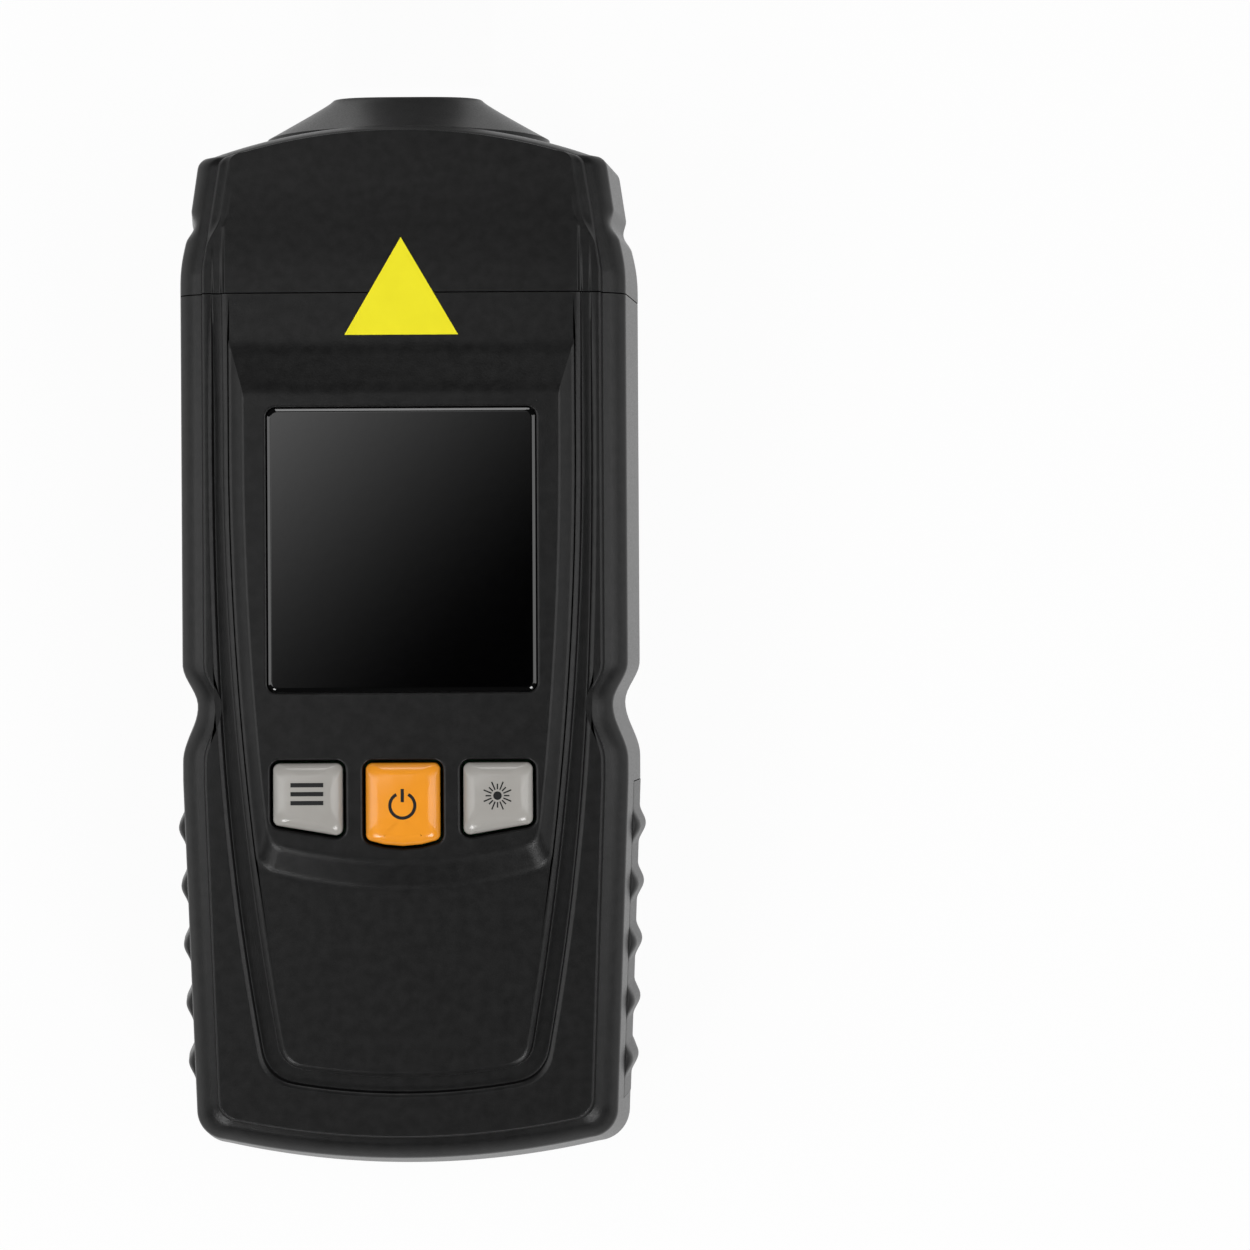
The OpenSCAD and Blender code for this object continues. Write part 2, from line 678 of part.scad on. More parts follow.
module rear_form() {
    loft(concat([for (s = back_steps) trunk_ring(s[0], s[1])], [trunk_ring(0, split_z)]));
}

// Space that the door takes out of the back, grown by a clearance
module door_space(grow, height) {
    translate([-door_w / 2 - grow, foot_y - eps, -eps])
        cube([door_w + 2 * grow, door_y - foot_y + eps + grow, height + eps]);
    translate([-door_w / 2 - tongue_w - grow, foot_y - eps, rail_z - grow])
        cube([door_w + 2 * tongue_w + 2 * grow, door_y - foot_y + eps - 3 + grow, tongue_t + 2 * grow]);
}

module rear_shell() color("#26282a") difference() {
    union() {
        difference() {
            rear_form();
            loft([trunk_ring(wall + 4, back_t, seam_y + eps), trunk_ring(wall + 1, back_t + 3, seam_y + eps),
                trunk_ring(wall, split_z + eps, seam_y + eps)]);
            grip_pockets();
        }
        for (s = [-1, 1]) {
            translate([s * (rail_x + rail_w / 2) - rail_w / 2, batt_y - 1.5, rail_z])
                cube([rail_w, door_y + 2 - batt_y, rail_h]);
            translate([s * (batt_w / 2 + bay_gap + bay_wall / 2) - bay_wall / 2, batt_y - 1.2, back_t])
                cube([bay_wall, bay_end + 1.2 - batt_y, bay_h - back_t]);
        }
        translate([-batt_w / 2 - bay_gap - bay_wall, bay_end - 0.01, rail_z])
            cube([batt_w + 2 * (bay_gap + bay_wall), bay_wall, bay_h - rail_z]);
        for (p = case_spots, s = [-1, 1])
            translate([s * p[0], p[1], rail_z]) cylinder(r = boss_r, h = split_z - rail_z);
        lip(back_t + fit, split_z, -1);
        for (p = cap_spots)
            translate([p[0] - tab_w / 2, seam_y - 1, back_t + fit])
                cube([tab_w, 1 + p[1] - seam_y + tab_end, 4]);
    }
    door_space(slide_fit, door_t + slide_fit);
    translate([-batt_w / 2 - batt_gap, batt_y - batt_gap, door_t])
        cube([batt_w + 2 * batt_gap, bay_end - batt_y + batt_gap - fit, split_z - door_t + eps]);
    for (p = case_spots, s = [-1, 1]) {
        translate([s * p[0], p[1], -eps]) cylinder(d = case_head_d + 2 * head_clear, h = case_seat + eps);
        translate([s * p[0], p[1], 0]) cylinder(d = case_screw_d + 2 * thread_fit, h = split_z + eps);
    }
    for (p = cap_spots)
        translate([p[0], p[1], -eps]) cylinder(d = small_screw_d + 2 * thread_fit, h = 10);
}

module battery_door() color("#232527") difference() {
    intersection() {
        rear_form();
        door_space(0, door_t);
    }
    for (k = [0 : 4])
        translate([-7, door_y - 9 - 2.2 * k, -eps]) cube([14, 1.1, 0.5 + eps]);
}

module head_cap() color("#26282a") difference() {
    union() {
        difference() {
            loft(concat([for (s = back_steps) head_ring(s[0], s[0], s[1])],
                [for (s = front_steps) head_ring(s[0], s[0] * head_draft, s[1],
                    s[1] < case_d ? 0 : head_chamfer)]));
            groove_cut(groove_end);
        }
        field(seam_y, groove_end + 3);
        loft([nose_ring(nose_base_w / 2, nose_base_h / 2, cap_end - 1),
            nose_ring(nose_base_w / 2, nose_base_h / 2, tip_y - nose_len),
            nose_ring(nose_tip_w / 2, nose_tip_h / 2, tip_y, nose_square)]);
    }
    translate([-cap_hw, seam_y - eps, back_t]) cube([2 * cap_hw, notch_y - seam_y + eps, ceiling_z - back_t]);
    translate([-cap_hw + 6, seam_y - eps, back_t + 3])
        cube([2 * cap_hw - 12, cap_end - seam_y + eps, ceiling_z - back_t - 4]);
    translate([0, 0, split_z]) rotate([-90, 0, 0]) {
        translate([0, 0, cap_end - eps]) cylinder(d = optics_d + 2 * fit, h = optics_y - cap_end + eps);
        translate([0, 0, cap_end]) linear_extrude(tip_y - cap_end) polygon(nose_slot(-nose_seat));
        translate([0, 0, window_seat_y]) linear_extrude(nose_len) polygon(nose_slot(fit));
        for (s = [-1, 1])
            translate([s * optics_ear, 0, cap_end - eps])
                cylinder(d = small_screw_d + 2 * thread_fit, h = optics_thread + eps + bore_spare);
    }
    for (p = cap_spots)
        translate([p[0], p[1], -eps]) {
            cylinder(d = small_screw_d + 2 * thread_fit, h = back_t + 2 * eps);
            cylinder(d = small_head_d + 2 * head_clear, h = cap_head_h + eps + fit);
        }
}

module display_window() color("#0b0c0d") translate([0, window_y, 0])
    cushion(rectangle(window_w, window_h), 1,
        [[window_z - window_t, 0], [window_z - window_edge, 0], [window_z, window_edge]]);

module memory_key() color("#a8a5a0") key(0);
module power_key() color("#ffa532") key(1);
module laser_key() color("#a8a5a0") key(2);
module memory_plunger() color("#2c2c2c") plunger(0);
module power_plunger() color("#2c2c2c") plunger(1);
module laser_plunger() color("#2c2c2c") plunger(2);

module beam_marker() color("#f2c200") translate([0, 0, field_z]) linear_extrude(marker_t)
    polygon([[-marker_w / 2, marker_y], [marker_w / 2, marker_y], [0, marker_y + marker_h]]);

// Display stack, from the window down to the board
module display_glass() color("#8f9a8c") translate([0, window_y, stack_z])
    linear_extrude(glass_t) polygon(rectangle(stack_w, stack_h));
module light_guide() color("#e8eef0") translate([0, window_y, stack_z - guide_t])
    linear_extrude(guide_t) polygon(rectangle(guide_w, guide_h));
module contact_strips() color("#c8506a") for (s = [-1, 1])
    translate([0, window_y + s * (stack_h / 2 - strip_in), board_top])
        linear_extrude(stack_z - board_top) square([strip_w, strip_t], center = true);
module display_frame() color("#e4e4e0") translate([0, window_y, board_top]) difference() {
    linear_extrude(stack_z - board_top) polygon(rectangle(stack_w, stack_h));
    translate([0, 0, stack_z - guide_t - board_top])
        linear_extrude(guide_t + eps) polygon(rectangle(guide_w + 2 * fit, guide_h + 2 * fit));
    for (s = [-1, 1])
        translate([0, s * (stack_h / 2 - strip_in), -eps]) linear_extrude(stack_z - board_top + 2 * eps)
            square([strip_w + 2 * fit, strip_t + 2 * fit], center = true);
}

module main_board() color("#1f6b3a") difference() {
    translate([0, 0, board_z]) linear_extrude(board_t) union() {
        translate([-board_w / 2, board_y0]) square([board_w, board_y1 - board_y0]);
        translate([-tongue_hw, board_y1 - eps]) square([2 * tongue_hw, sensor_y - board_y1 + eps]);
    }
    for (p = board_spots)
        translate([p[0], p[1], board_z - eps]) cylinder(d = small_screw_d + 2 * fit, h = board_t + 2 * eps);
}

module switch_housings() color("#3a3a3c") for (p = switch_spots)
    translate([p[0], p[1], board_top]) difference() {
        translate([-switch_w / 2, -switch_w / 2, 0]) cube([switch_w, switch_w, switch_h]);
        translate([0, 0, 0.8]) cylinder(d = plunger_d + 0.1, h = switch_h);
    }

module microcontroller() color("#151515") translate([-0.75 * chip_w, crystal_y, board_z - chip_h])
    cube([chip_w, chip_w, chip_h]);
module crystal() color("#c9ccd0") translate([chip_w / 2, crystal_y, board_z - crystal_h])
    linear_extrude(crystal_h) polygon(rounded(rectangle(crystal_w, crystal_len), crystal_r));
module capacitors() color("#2a3f6b") for (s = [-1, 1])
    translate([s * capacitor_x, board_y1 - capacitor_in, board_z - capacitor_h])
        cylinder(d = capacitor_d, h = capacitor_h);
module battery_cushion() color("#555a5e") 
    translate([-cushion_w / 2, batt_y + batt_len - cushion_len - cushion_in, batt_z + batt_t])
        cube([cushion_w, cushion_len, board_z - batt_z - batt_t]);

module sensor_board() color("#1f6b3a") translate([-sensor_w / 2, sensor_y, split_z - sensor_h / 2])
    cube([sensor_w, board_t, sensor_h]);
module optics_block() color("#2d2d2f") translate([0, 0, split_z]) rotate([-90, 0, 0]) difference() {
    union() {
        translate([0, 0, sensor_y + board_t]) cylinder(d = optics_d, h = optics_y - fit - sensor_y - board_t);
        translate([-optics_ear - ear_w, -ear_h / 2, cap_end - fit - flange_t])
            cube([2 * (optics_ear + ear_w), ear_h, flange_t]);
    }
    translate([-optics_x, 0, sensor_y]) cylinder(d = laser_d + 2 * fit, h = tip_y - sensor_y);
    translate([optics_x, 0, sensor_y]) cylinder(d = lens_d + 2 * fit, h = tip_y - sensor_y);
    for (s = [-1, 1])
        translate([s * optics_ear, 0, sensor_y]) cylinder(d = small_screw_d + 2 * fit, h = tip_y - sensor_y);
}
module on_beam(x, y) translate([x, y, split_z]) rotate([-90, 0, 0]) children();
module laser_barrel() color("#b8923f") on_beam(-optics_x, sensor_y + board_t) difference() {
    cylinder(d = laser_d, h = barrel_len);
    translate([0, 0, barrel_len - barrel_wall]) cylinder(d = laser_d - 2 * barrel_wall, h = 2 * barrel_wall);
}
module laser_lens() color("#bcd4e8") on_beam(-optics_x, sensor_y + board_t + barrel_len - barrel_wall)
    cylinder(d = laser_d - 2 * barrel_wall - fit, h = barrel_wall - fit);
module receiver_lens() color("#bcd4e8") on_beam(optics_x, optics_y - 3 * fit - lens_t) intersection() {
    cylinder(d = lens_d, h = lens_t);
    translate([0, 0, lens_t - lens_r]) sphere(r = lens_r);
}
module photodiode() color("#3b2430") on_beam(optics_x, sensor_y + board_t) {
    cylinder(d = diode_d, h = diode_h);
    translate([0, 0, diode_h]) sphere(d = diode_d);
}
module nose_window() color("#7c2020") on_beam(0, window_seat_y)
    linear_extrude(nose_window_t) polygon(nose_slot(0));

module battery() color("#3a3d40") translate([0, batt_y, batt_z + batt_t / 2]) rotate([-90, 0, 0]) {
    linear_extrude(batt_len) polygon(rounded(rectangle(batt_w, batt_t), 2));
    for (t = terminals)
        translate([t[0], 0, batt_len - 0.01]) cylinder(d = t[1], h = terminal_h);
}
module battery_snap() color("#17181a")
    translate([0, batt_y + batt_len + fit, batt_z + batt_t / 2]) rotate([-90, 0, 0]) difference() {
        linear_extrude(snap_t) polygon(rounded(rectangle(batt_w - 1, batt_t - 5), 3));
        for (t = terminals)
            translate([t[0], 0, -eps]) cylinder(d = t[1] + 2 * fit, h = terminal_h + eps);
    }

// Battery leads from the snap up to the rear face of the main board
function lead_points(s) = [[lead_x * s, lead_y, lead_z], [lead_x * s, lead_y + 0.4 * lead_run, lead_z],
    [(lead_x + 0.4 * lead_out) * s, lead_y + 0.77 * lead_run, lead_z + 0.4 * lead_rise],
    [(lead_x + lead_out) * s, lead_y + lead_run, lead_z + lead_rise],
    [(lead_x + lead_out) * s, lead_y + lead_run, board_z]];
module red_lead() color("#b3201f") lead(lead_points(-1), lead_d);
module black_lead() color("#141414") lead(lead_points(1), lead_d);

module case_screws() color("#9a9da1") for (p = case_spots, s = [-1, 1])
    translate([s * p[0], p[1], case_seat])
        screw(case_screw_d, case_head_d, case_head_h, split_z - case_seat + case_thread);
module cap_screws() color("#9a9da1") for (p = cap_spots)
    translate([p[0], p[1], cap_head_h + fit]) screw(small_screw_d, small_head_d, cap_head_h, cap_screw_len);
module board_screws() color("#9a9da1") for (p = board_spots)
    translate([p[0], p[1], board_z]) screw(small_screw_d, small_head_d, small_head_h, board_t + board_thread);
module optics_screws() color("#9a9da1") for (s = [-1, 1])
    on_beam(s * optics_ear, cap_end - fit - flange_t)
        screw(small_screw_d, small_head_d, small_head_h, flange_t + fit + optics_thread);

front_shell();
rear_shell();
head_cap();
display_window();
memory_key();
power_key();
laser_key();
side_grip_left();
side_grip_right();
battery_door();
beam_marker();
display_glass();
light_guide();
display_frame();
contact_strips();
main_board();
switch_housings();
memory_plunger();
power_plunger();
laser_plunger();
microcontroller();
crystal();
capacitors();
sensor_board();
photodiode();
optics_block();
laser_barrel();
laser_lens();
receiver_lens();
nose_window();
battery();
battery_snap();
red_lead();
black_lead();
battery_cushion();
case_screws();
cap_screws();
board_screws();
optics_screws();
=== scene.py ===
"""Looks of a hand-held laser tachometer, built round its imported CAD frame.

Lengths in this file are millimetres, and meshes are written in metres.
+Y points out of the nose, +Z out of the front face, and the case lies on its back at Z = 0.
"""

import json
import math

import bmesh
import bpy
import numpy as np
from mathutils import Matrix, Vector
from mathutils.geometry import delaunay_2d_cdt


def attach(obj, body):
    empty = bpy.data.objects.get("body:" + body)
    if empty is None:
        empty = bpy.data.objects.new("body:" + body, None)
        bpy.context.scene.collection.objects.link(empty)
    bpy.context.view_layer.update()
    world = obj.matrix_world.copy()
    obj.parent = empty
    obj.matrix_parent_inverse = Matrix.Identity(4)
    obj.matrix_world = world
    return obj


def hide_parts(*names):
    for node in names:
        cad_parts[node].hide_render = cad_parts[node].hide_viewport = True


MM = 0.001

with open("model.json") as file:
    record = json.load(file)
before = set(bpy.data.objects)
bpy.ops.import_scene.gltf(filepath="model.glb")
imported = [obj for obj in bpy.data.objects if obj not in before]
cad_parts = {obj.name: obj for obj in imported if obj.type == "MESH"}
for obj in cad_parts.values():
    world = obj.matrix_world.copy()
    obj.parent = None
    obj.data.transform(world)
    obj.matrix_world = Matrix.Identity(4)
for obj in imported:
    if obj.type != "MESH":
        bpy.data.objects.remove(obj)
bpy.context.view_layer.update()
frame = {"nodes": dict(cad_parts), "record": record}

# Places along the case
FOOT_Y = -65.0
TIP_Y = 65.0
SEAM_Y = 40.2
NOTCH_Y = 48.5
HEAD_Y = 59.5
ROOM_Y = 56.3
WAIST_Y = -8.6
WINDOW_Y = 9.8
PANEL_Y = (-26.85, 28.7)
KEY_Y = -15.25
FIELD_Y = -52.4
FIELD_STRAIGHT = 22.5
DOOR_Y = -8.2
BATTERY_Y = -59.8

# Heights above the back
BACK_T = 2.4
SPLIT_Z = 19.0
SHOULDER_Z = 31.6
CEILING_Z = 32.2
SHOULDER_TOP = 33.4
ROOF_Z = 34.4
PLATE_Z = 34.8
SKIRT_Z = 35.0
FIELD_Z = 35.2
PANEL_Z = 36.8
WINDOW_Z = 36.95
KEY_TOP = 38.0

# Case: half widths, drafts and corner radii
WALL = 3.2
PARTING = 0.07
TRUNK_HALF = 28.0
TRUNK_TAPER = 0.037
WAIST_DIP = 1.8
WAIST_REACH = (6.6, 5.0)
TAPER_Y = WAIST_Y - 9
NOTCH_DIP = 0.6
NOTCH_REACH = 2.0
FRONT_DRAFT = 1.5
FOOT_LEAN = 1.0
FOOT_R = 103.0
FOOT_CORNER = 4.0
HEAD_HALF = 26.9
HEAD_TAPER = 0.15
HEAD_BLEND = 8.0
HEAD_SLANT = 0.165
SLANT_RUN = 6.0
SLANT_EASE = 0.5
HEAD_R = 68.0
HEAD_CORNER = 1.5
HEAD_DRAFT = 0.35
HEAD_PINCH = 1.1
PINCH_Z = 33.7
PINCH_LEAD = 3.0
PINCH_REACH = 4.0
SIDE_END = SEAM_Y - PARTING

# Joint of the halves: distances in from the side with those from the joint, along its soft edge
JOINT_ROWS = [(0.14, PARTING), (0.05, 0.12)]
JOINT_EDGE = 0.25

# Shoulder: the chamfer's fullest point as shares of its width and height, then distances in from the side
# with their heights, and how far each corner is eased
SHOULDER_W = 2.1
CHAMFER_FULL = (0.43, 0.57)
LEDGE = [(3.35, 33.26), (4.25, 33.56), (4.38, 34.2), (4.55, PLATE_Z), (4.9, PLATE_Z)]
SHOULDER_EASE = (0.4, 0.6, 0.35, 0.12, 0.2, 0.2)
PLATE_IN = 4.5

# Back: the large round from the flat, then the wall up to the joint
BACK_ROUND = (5.6, 10.0)
BACK_IN = 0.4
BACK_N = 22
BACK_WALL = [(0.3, 12.2), (0.2, 14.4), (0.1, 16.6), (0.02, SPLIT_Z - JOINT_EDGE)]

# Raised field, groove and panel
FIELD_HALF = 21.15
FIELD_DRAW = 0.00122
FIELD_R = 74.0
FIELD_CORNER = 3.0
GROOVE_W = 1.3
GROOVE_SPREAD = 0.9
SPREAD_Y = FIELD_STRAIGHT - 2
SPREAD_RUN = 60.0
GROOVE_DEPTH = 1.2
GROOVE_FADE = 25.0
GROOVE_R = 76.0
GROOVE_CORNER = 4.5
GROOVE_FOOT = 2.0
GROOVE_EASE = 0.3
FIELD_EASE = 0.34
FIELD_FADE = (1.2, 12.0)
PANEL_MARGIN = 1.0
PANEL_R = 58.0
PANEL_CORNER = 2.6
PANEL_BEVEL = 1.5
PANEL_FOOT = 3.3
PANEL_HEAD = 5.1
POCKET_GROW = 0.5

# Rows of (outwards, share of depth) over the groove's outer edge and up the field's wall,
# and of (share of bevel, share of height) up the panel
GROOVE_ROWS = [(0.58, 0), (0.5, 0.004), (0.42, 0.02), (0.1, 0.13), (0.03, 0.18), (0, 0.28), (-0.04, 0.8),
               (-0.12, 0.94), (-0.35, 1)]
FIELD_ROWS = [(0.35, 0), (0.12, 0.04), (0.04, 0.15), (0, 0.74), (-0.03, 0.83), (-0.1, 0.88), (-0.5, 0.982),
              (-0.6, 0.997), (-0.7, 1), (-0.85, 1)]
BEVEL_ROWS = [(-0.26, 0), (-0.16, 0), (-0.04, 0.02), (0.08, 0.09), (0.2, 0.2), (0.5, 0.5), (0.8, 0.8),
              (0.92, 0.91), (1.04, 0.98), (1.12, 1), (1.18, 1)]

# Window and keys
WINDOW_W = 31.5
WINDOW_H = 33.3
WINDOW_T = 1.5
WINDOW_CORNER = 1.0
WINDOW_SEAT = 1.5
WINDOW_CLEAR = 0.14
KEY_CLEAR = 0.35
KEY_R = 0.8
KEY_DOME = 0.2
KEY_EDGE = (1.5, 0.95)
SIDE_KEY_X = (7.1, 15.25)
SIDE_KEY_LEN = (8.6, 7.2)
POWER_HALF = 4.36
POWER_LEN = 9.75
POWER_BOW = 0.75
MARK_RISE = 0.025
MARK_T = 0.08

# Grips, door, battery bay and screws
GRIP_Y = (-56.18, -18.1)
GRIP_Z = (9.0, 26.0)
GRIP_DEPTH = 1.4
GRIP_ROUND = 1.6
GRIP_FLAT = (11.5, 23.5)
GRIP_PROUD = 0.05
GRIP_GAP = 0.1
RIBS_Y = -23.5 - 7.07 * np.arange(5)
RIB_REACH = 2.4
RIB_RISE = 0.8
DOOR_HALF = 14.5
DOOR_T = 2.2
DOOR_GAP = 0.3
DOOR_ROOM = 2.5
TONGUE_HALF = 15.5
TONGUE_Z = (1.0, 1.8)
THUMB_PITCH = 2.2
THUMB_W = 1.1
THUMB_HALF = 7.0
BAY_HALF = 13.55
BAY_TOP = 21.0
BAY_WALL = (13.7, 15.2)
BAY_RAIL = (14.8, 17.8)
CASE_SCREWS = [(20.2, 34.5), (19.0, -52.5)]
CASE_SEAT_R = 2.7
CASE_SEAT_Z = 8.0
CAP_SCREWS = [(16.0, 45.0)]
CAP_SEAT_R = 2.1
CAP_SEAT_Z = 1.1

# Nose and rooms of the head: half sizes across X and Z at the nose's base, neck and tip, and how square its
# tip is
NOSE_BASE = (17.3, 13.5)
NOSE_NECK = (9.4, 5.2)
NOSE_TIP = (9.2, 5.0)
NOSE_SQUARE = 0.6
NOSE_ROOT_Y = 55.0
NOSE_FLARE_Y = (TIP_Y - 4.8, TIP_Y - 0.2)
NOSE_BORE_R = 8.9
NOSE_BORE_Y = (50.0, 62.1)
FILTER_SIZE = (15.4, 7.6)
FILTER_R = 3.7
FILTER_Y = 63.4
SEAM_ROOM_HALF = 22.9
OPTICS_ROOM_HALF = 16.9
OPTICS_ROOM_Z = (5.4, 31.2)


# Outlines


def smooth(t):
    """Soft step from 0 to 1: three t squared less two t cubed."""
    t = np.clip(t, 0, 1)
    return t * t * (3 - 2 * t)


def dip(t):
    """Cosine bump of height 1 that ends at t = -1 and 1."""
    return np.where(np.abs(t) < 1, (1 + np.cos(np.pi * t)) / 2, 0)


def share_between(z, low, high):
    """Share of the way from one height to another, held between 0 and 1."""
    return min(max((z - low) / (high - low), 0), 1)


def half_width(y):
    """Half width of the case: a straight trunk with a taper and a waist, blended into the tapered head."""
    flank = np.where(y > WAIST_Y, WAIST_REACH[1], WAIST_REACH[0])
    taper = TRUNK_TAPER * np.maximum(0, TAPER_Y - y)
    trunk = TRUNK_HALF - taper - WAIST_DIP * dip((y - WAIST_Y) / flank)
    head = HEAD_HALF - HEAD_TAPER * (y - NOTCH_Y)
    blend = smooth((y - NOTCH_Y + HEAD_BLEND) / HEAD_BLEND)
    return trunk * (1 - blend) + head * blend - NOTCH_DIP * dip((y - NOTCH_Y) / NOTCH_REACH)


def field_width(y):
    """Half width of the raised field: straight above, drawn in as a parabola towards the foot."""
    return FIELD_HALF - FIELD_DRAW * np.maximum(0, FIELD_STRAIGHT - y) ** 2


def groove_width(y):
    """Half width at the groove's outer wall, which spreads from the field towards the foot."""
    return field_width(y) + GROOVE_W + GROOVE_SPREAD * smooth((SPREAD_Y - y) / SPREAD_RUN)


def groove_drop(y):
    """Depth of the groove, which runs out softly on the head."""
    return GROOVE_DEPTH * (1 - smooth((y - FIELD_STRAIGHT) / GROOVE_FADE))


def u_half(width, radius, low, corner, end, side_n=150, edge_n=24, corner_n=12):
    """Right half of a U outline: an arc of the given radius, a corner arc, then the side width(y) up to
    end."""
    x_c = width(low + corner)
    y_c = low + radius - math.sqrt(radius**2 - x_c**2)
    tilt = math.asin(x_c / radius)
    lean = math.atan((width(y_c + 6) - width(y_c + 2)) / 4)
    run = corner / math.tan((math.pi / 2 + tilt + lean) / 2)
    centre = np.array([width(y_c) + run * math.sin(lean) - corner * math.cos(lean),
                       y_c + run * math.cos(lean) + corner * math.sin(lean)])
    x = (centre[0] + corner * math.sin(tilt)) * (np.arange(edge_n) + 0.5) / (edge_n + 0.5)
    edge = np.stack([x, low + radius - np.sqrt(radius**2 - x**2)], axis=1)
    k = np.linspace(0, 1, corner_n + 1)
    a = (tilt - math.pi / 2) * (1 - k) - lean * k
    bend = centre + corner * np.stack([np.cos(a), np.sin(a)], axis=1)
    y = np.linspace(bend[-1, 1], end, side_n + 1)[1:]
    return np.concatenate([edge, bend, np.stack([width(y), y], axis=1)])


def front_in(z):
    """Draft of the front side wall: how far it leans in at a height above the joint."""
    return FRONT_DRAFT * (z - SPLIT_Z) / (SHOULDER_Z - SPLIT_Z)


def eased(corners, cuts, steps=6):
    """Path from the first corner, with each inner one replaced by a quadratic curve that starts and ends a
    cut away from it. The path ends where the last curve does."""
    p = np.asarray(corners, float)
    t = np.linspace(0, 1, steps)[:, None]
    path = [p[:1]]
    for before, at, after, cut in zip(p, p[1:], p[2:], cuts):
        start = at + (before - at) * cut / np.linalg.norm(before - at)
        end = at + (after - at) * cut / np.linalg.norm(after - at)
        path.append((1 - t) ** 2 * start + 2 * t * (1 - t) * at + t**2 * end)
    return np.concatenate(path)


def shoulder_steps():
    """Front side from the joint up: drafted wall, a slightly full chamfer, a ledge and the step to the
    plate."""
    wall = [(front_in(z), z) for z in np.linspace(SPLIT_Z + JOINT_EDGE, SHOULDER_Z - 1, 6)]
    full = (FRONT_DRAFT + CHAMFER_FULL[0] * SHOULDER_W,
            SHOULDER_Z + CHAMFER_FULL[1] * (SHOULDER_TOP - SHOULDER_Z))
    turn = eased([wall[-1], (FRONT_DRAFT, SHOULDER_Z), full] + LEDGE, SHOULDER_EASE)
    return wall[:-1] + turn.tolist()


def back_steps():
    """Rear side from the flat back up: a quarter ellipse, then a slightly drafted wall to the joint."""
    a = np.linspace(np.pi / 2, 0, BACK_N)
    wide, tall = BACK_ROUND
    return list(zip(BACK_IN + wide * (1 - np.cos(a)), tall * (1 - np.sin(a)))) + BACK_WALL


def ring(half, z):
    """Closed outline from its right half and a height, which may vary along it."""
    z = np.broadcast_to(z, len(half))
    right = np.column_stack([half, z])
    return np.concatenate([right, right[::-1] * [-1, 1, 1]])


def trunk_ring(inset, z):
    """Case outline drawn in by an inset, with round corners at the foot, which leans in more above the
    joint."""
    lean = FOOT_LEAN * share_between(z, SPLIT_Z, SHOULDER_Z)
    corner = max(FOOT_CORNER - 0.35 * inset, 1)
    return ring(u_half(lambda y: half_width(y) - inset, FOOT_R - inset, FOOT_Y + inset + lean, corner,
                       SIDE_END), z)


def head_width(y, z):
    """Half width of the head: notch and blend up to the shoulder, faded along its chamfer into a straight
    slant that starts as a hyperbola."""
    lift = share_between(z, SHOULDER_Z, SHOULDER_TOP - 0.3)
    run = np.sqrt(np.maximum(0, y - NOTCH_Y + SLANT_RUN) ** 2 + SLANT_EASE**2)
    slant = TRUNK_HALF - HEAD_SLANT * run + HEAD_SLANT * SLANT_EASE
    return half_width(y) * (1 - lift) + slant * lift


def pinch(y):
    """Share of the pinch of the head's plate, from the notch on."""
    return smooth((y - NOTCH_Y + PINCH_LEAD) / PINCH_REACH)


def head_ring(inset, top_inset, z, pinched=0.0):
    """Head outline: the U turned round, with its arc at the top and sides that can be pinched."""
    half = u_half(lambda y: head_width(-y, z) - inset - pinched * pinch(-y), HEAD_R,
                  -HEAD_Y - PLATE_IN * HEAD_DRAFT + top_inset, HEAD_CORNER, -SEAM_Y - PARTING, 90)
    return ring(half, z) * [-1, -1, 1]


def groove_ring(out, drop):
    """Outer outline of the groove, moved outwards, at a share of the groove's depth."""
    half = u_half(lambda y: groove_width(y) + out, GROOVE_R, FIELD_Y - GROOVE_FOOT - out, GROOVE_CORNER,
                  SIDE_END)
    return ring(half, PLATE_Z - drop * groove_drop(half[:, 1]))


def field_ring(out, share):
    """Outline of the raised field, moved outwards, at a share of the wall from the groove's floor to its
    top."""
    half = u_half(lambda y: field_width(y) + out, FIELD_R, FIELD_Y - out, FIELD_CORNER, SIDE_END)
    floor = PLATE_Z - groove_drop(half[:, 1])
    return ring(half, floor + share * (FIELD_Z - floor))


def panel_ring(share, z, grow=0.0):
    """Outline of the display panel at a share of its bevel, from the foot on the field to the top."""
    half = u_half(lambda y: field_width(y) - PANEL_MARGIN - PANEL_BEVEL * share + grow, PANEL_R,
                  PANEL_Y[0] - PANEL_FOOT * (1 - share) - grow, PANEL_CORNER,
                  PANEL_Y[1] + PANEL_HEAD * (1 - share))
    return ring(half, z)


def corner_frame(corners):
    """Corners of a convex polygon, with the unit direction back along the side before each, half the angle
    there and the unit bisector."""
    p = np.asarray(corners, float)
    a = np.roll(p, 1, axis=0) - p
    b = np.roll(p, -1, axis=0) - p
    a /= np.linalg.norm(a, axis=1, keepdims=True)
    b /= np.linalg.norm(b, axis=1, keepdims=True)
    half = np.arccos(np.clip((a * b).sum(axis=1), -1, 1)) / 2
    middle = a + b
    middle /= np.linalg.norm(middle, axis=1, keepdims=True)
    return p, a, half, middle


def rounded(corners, radius, steps=10):
    """Convex polygon, run anticlockwise, with each corner replaced by an arc of the radius."""
    p, side, half, middle = corner_frame(corners)
    centre = p + middle * (radius / np.sin(half))[:, None]
    start = p + side * (radius / np.tan(half))[:, None] - centre
    first = np.arctan2(start[:, 1], start[:, 0])[:, None]
    angle = first + np.linspace(0, 1, steps + 1) * (np.pi - 2 * half)[:, None]
    arc = centre[:, None, :] + radius * np.stack([np.cos(angle), np.sin(angle)], axis=2)
    return arc.reshape(-1, 2)


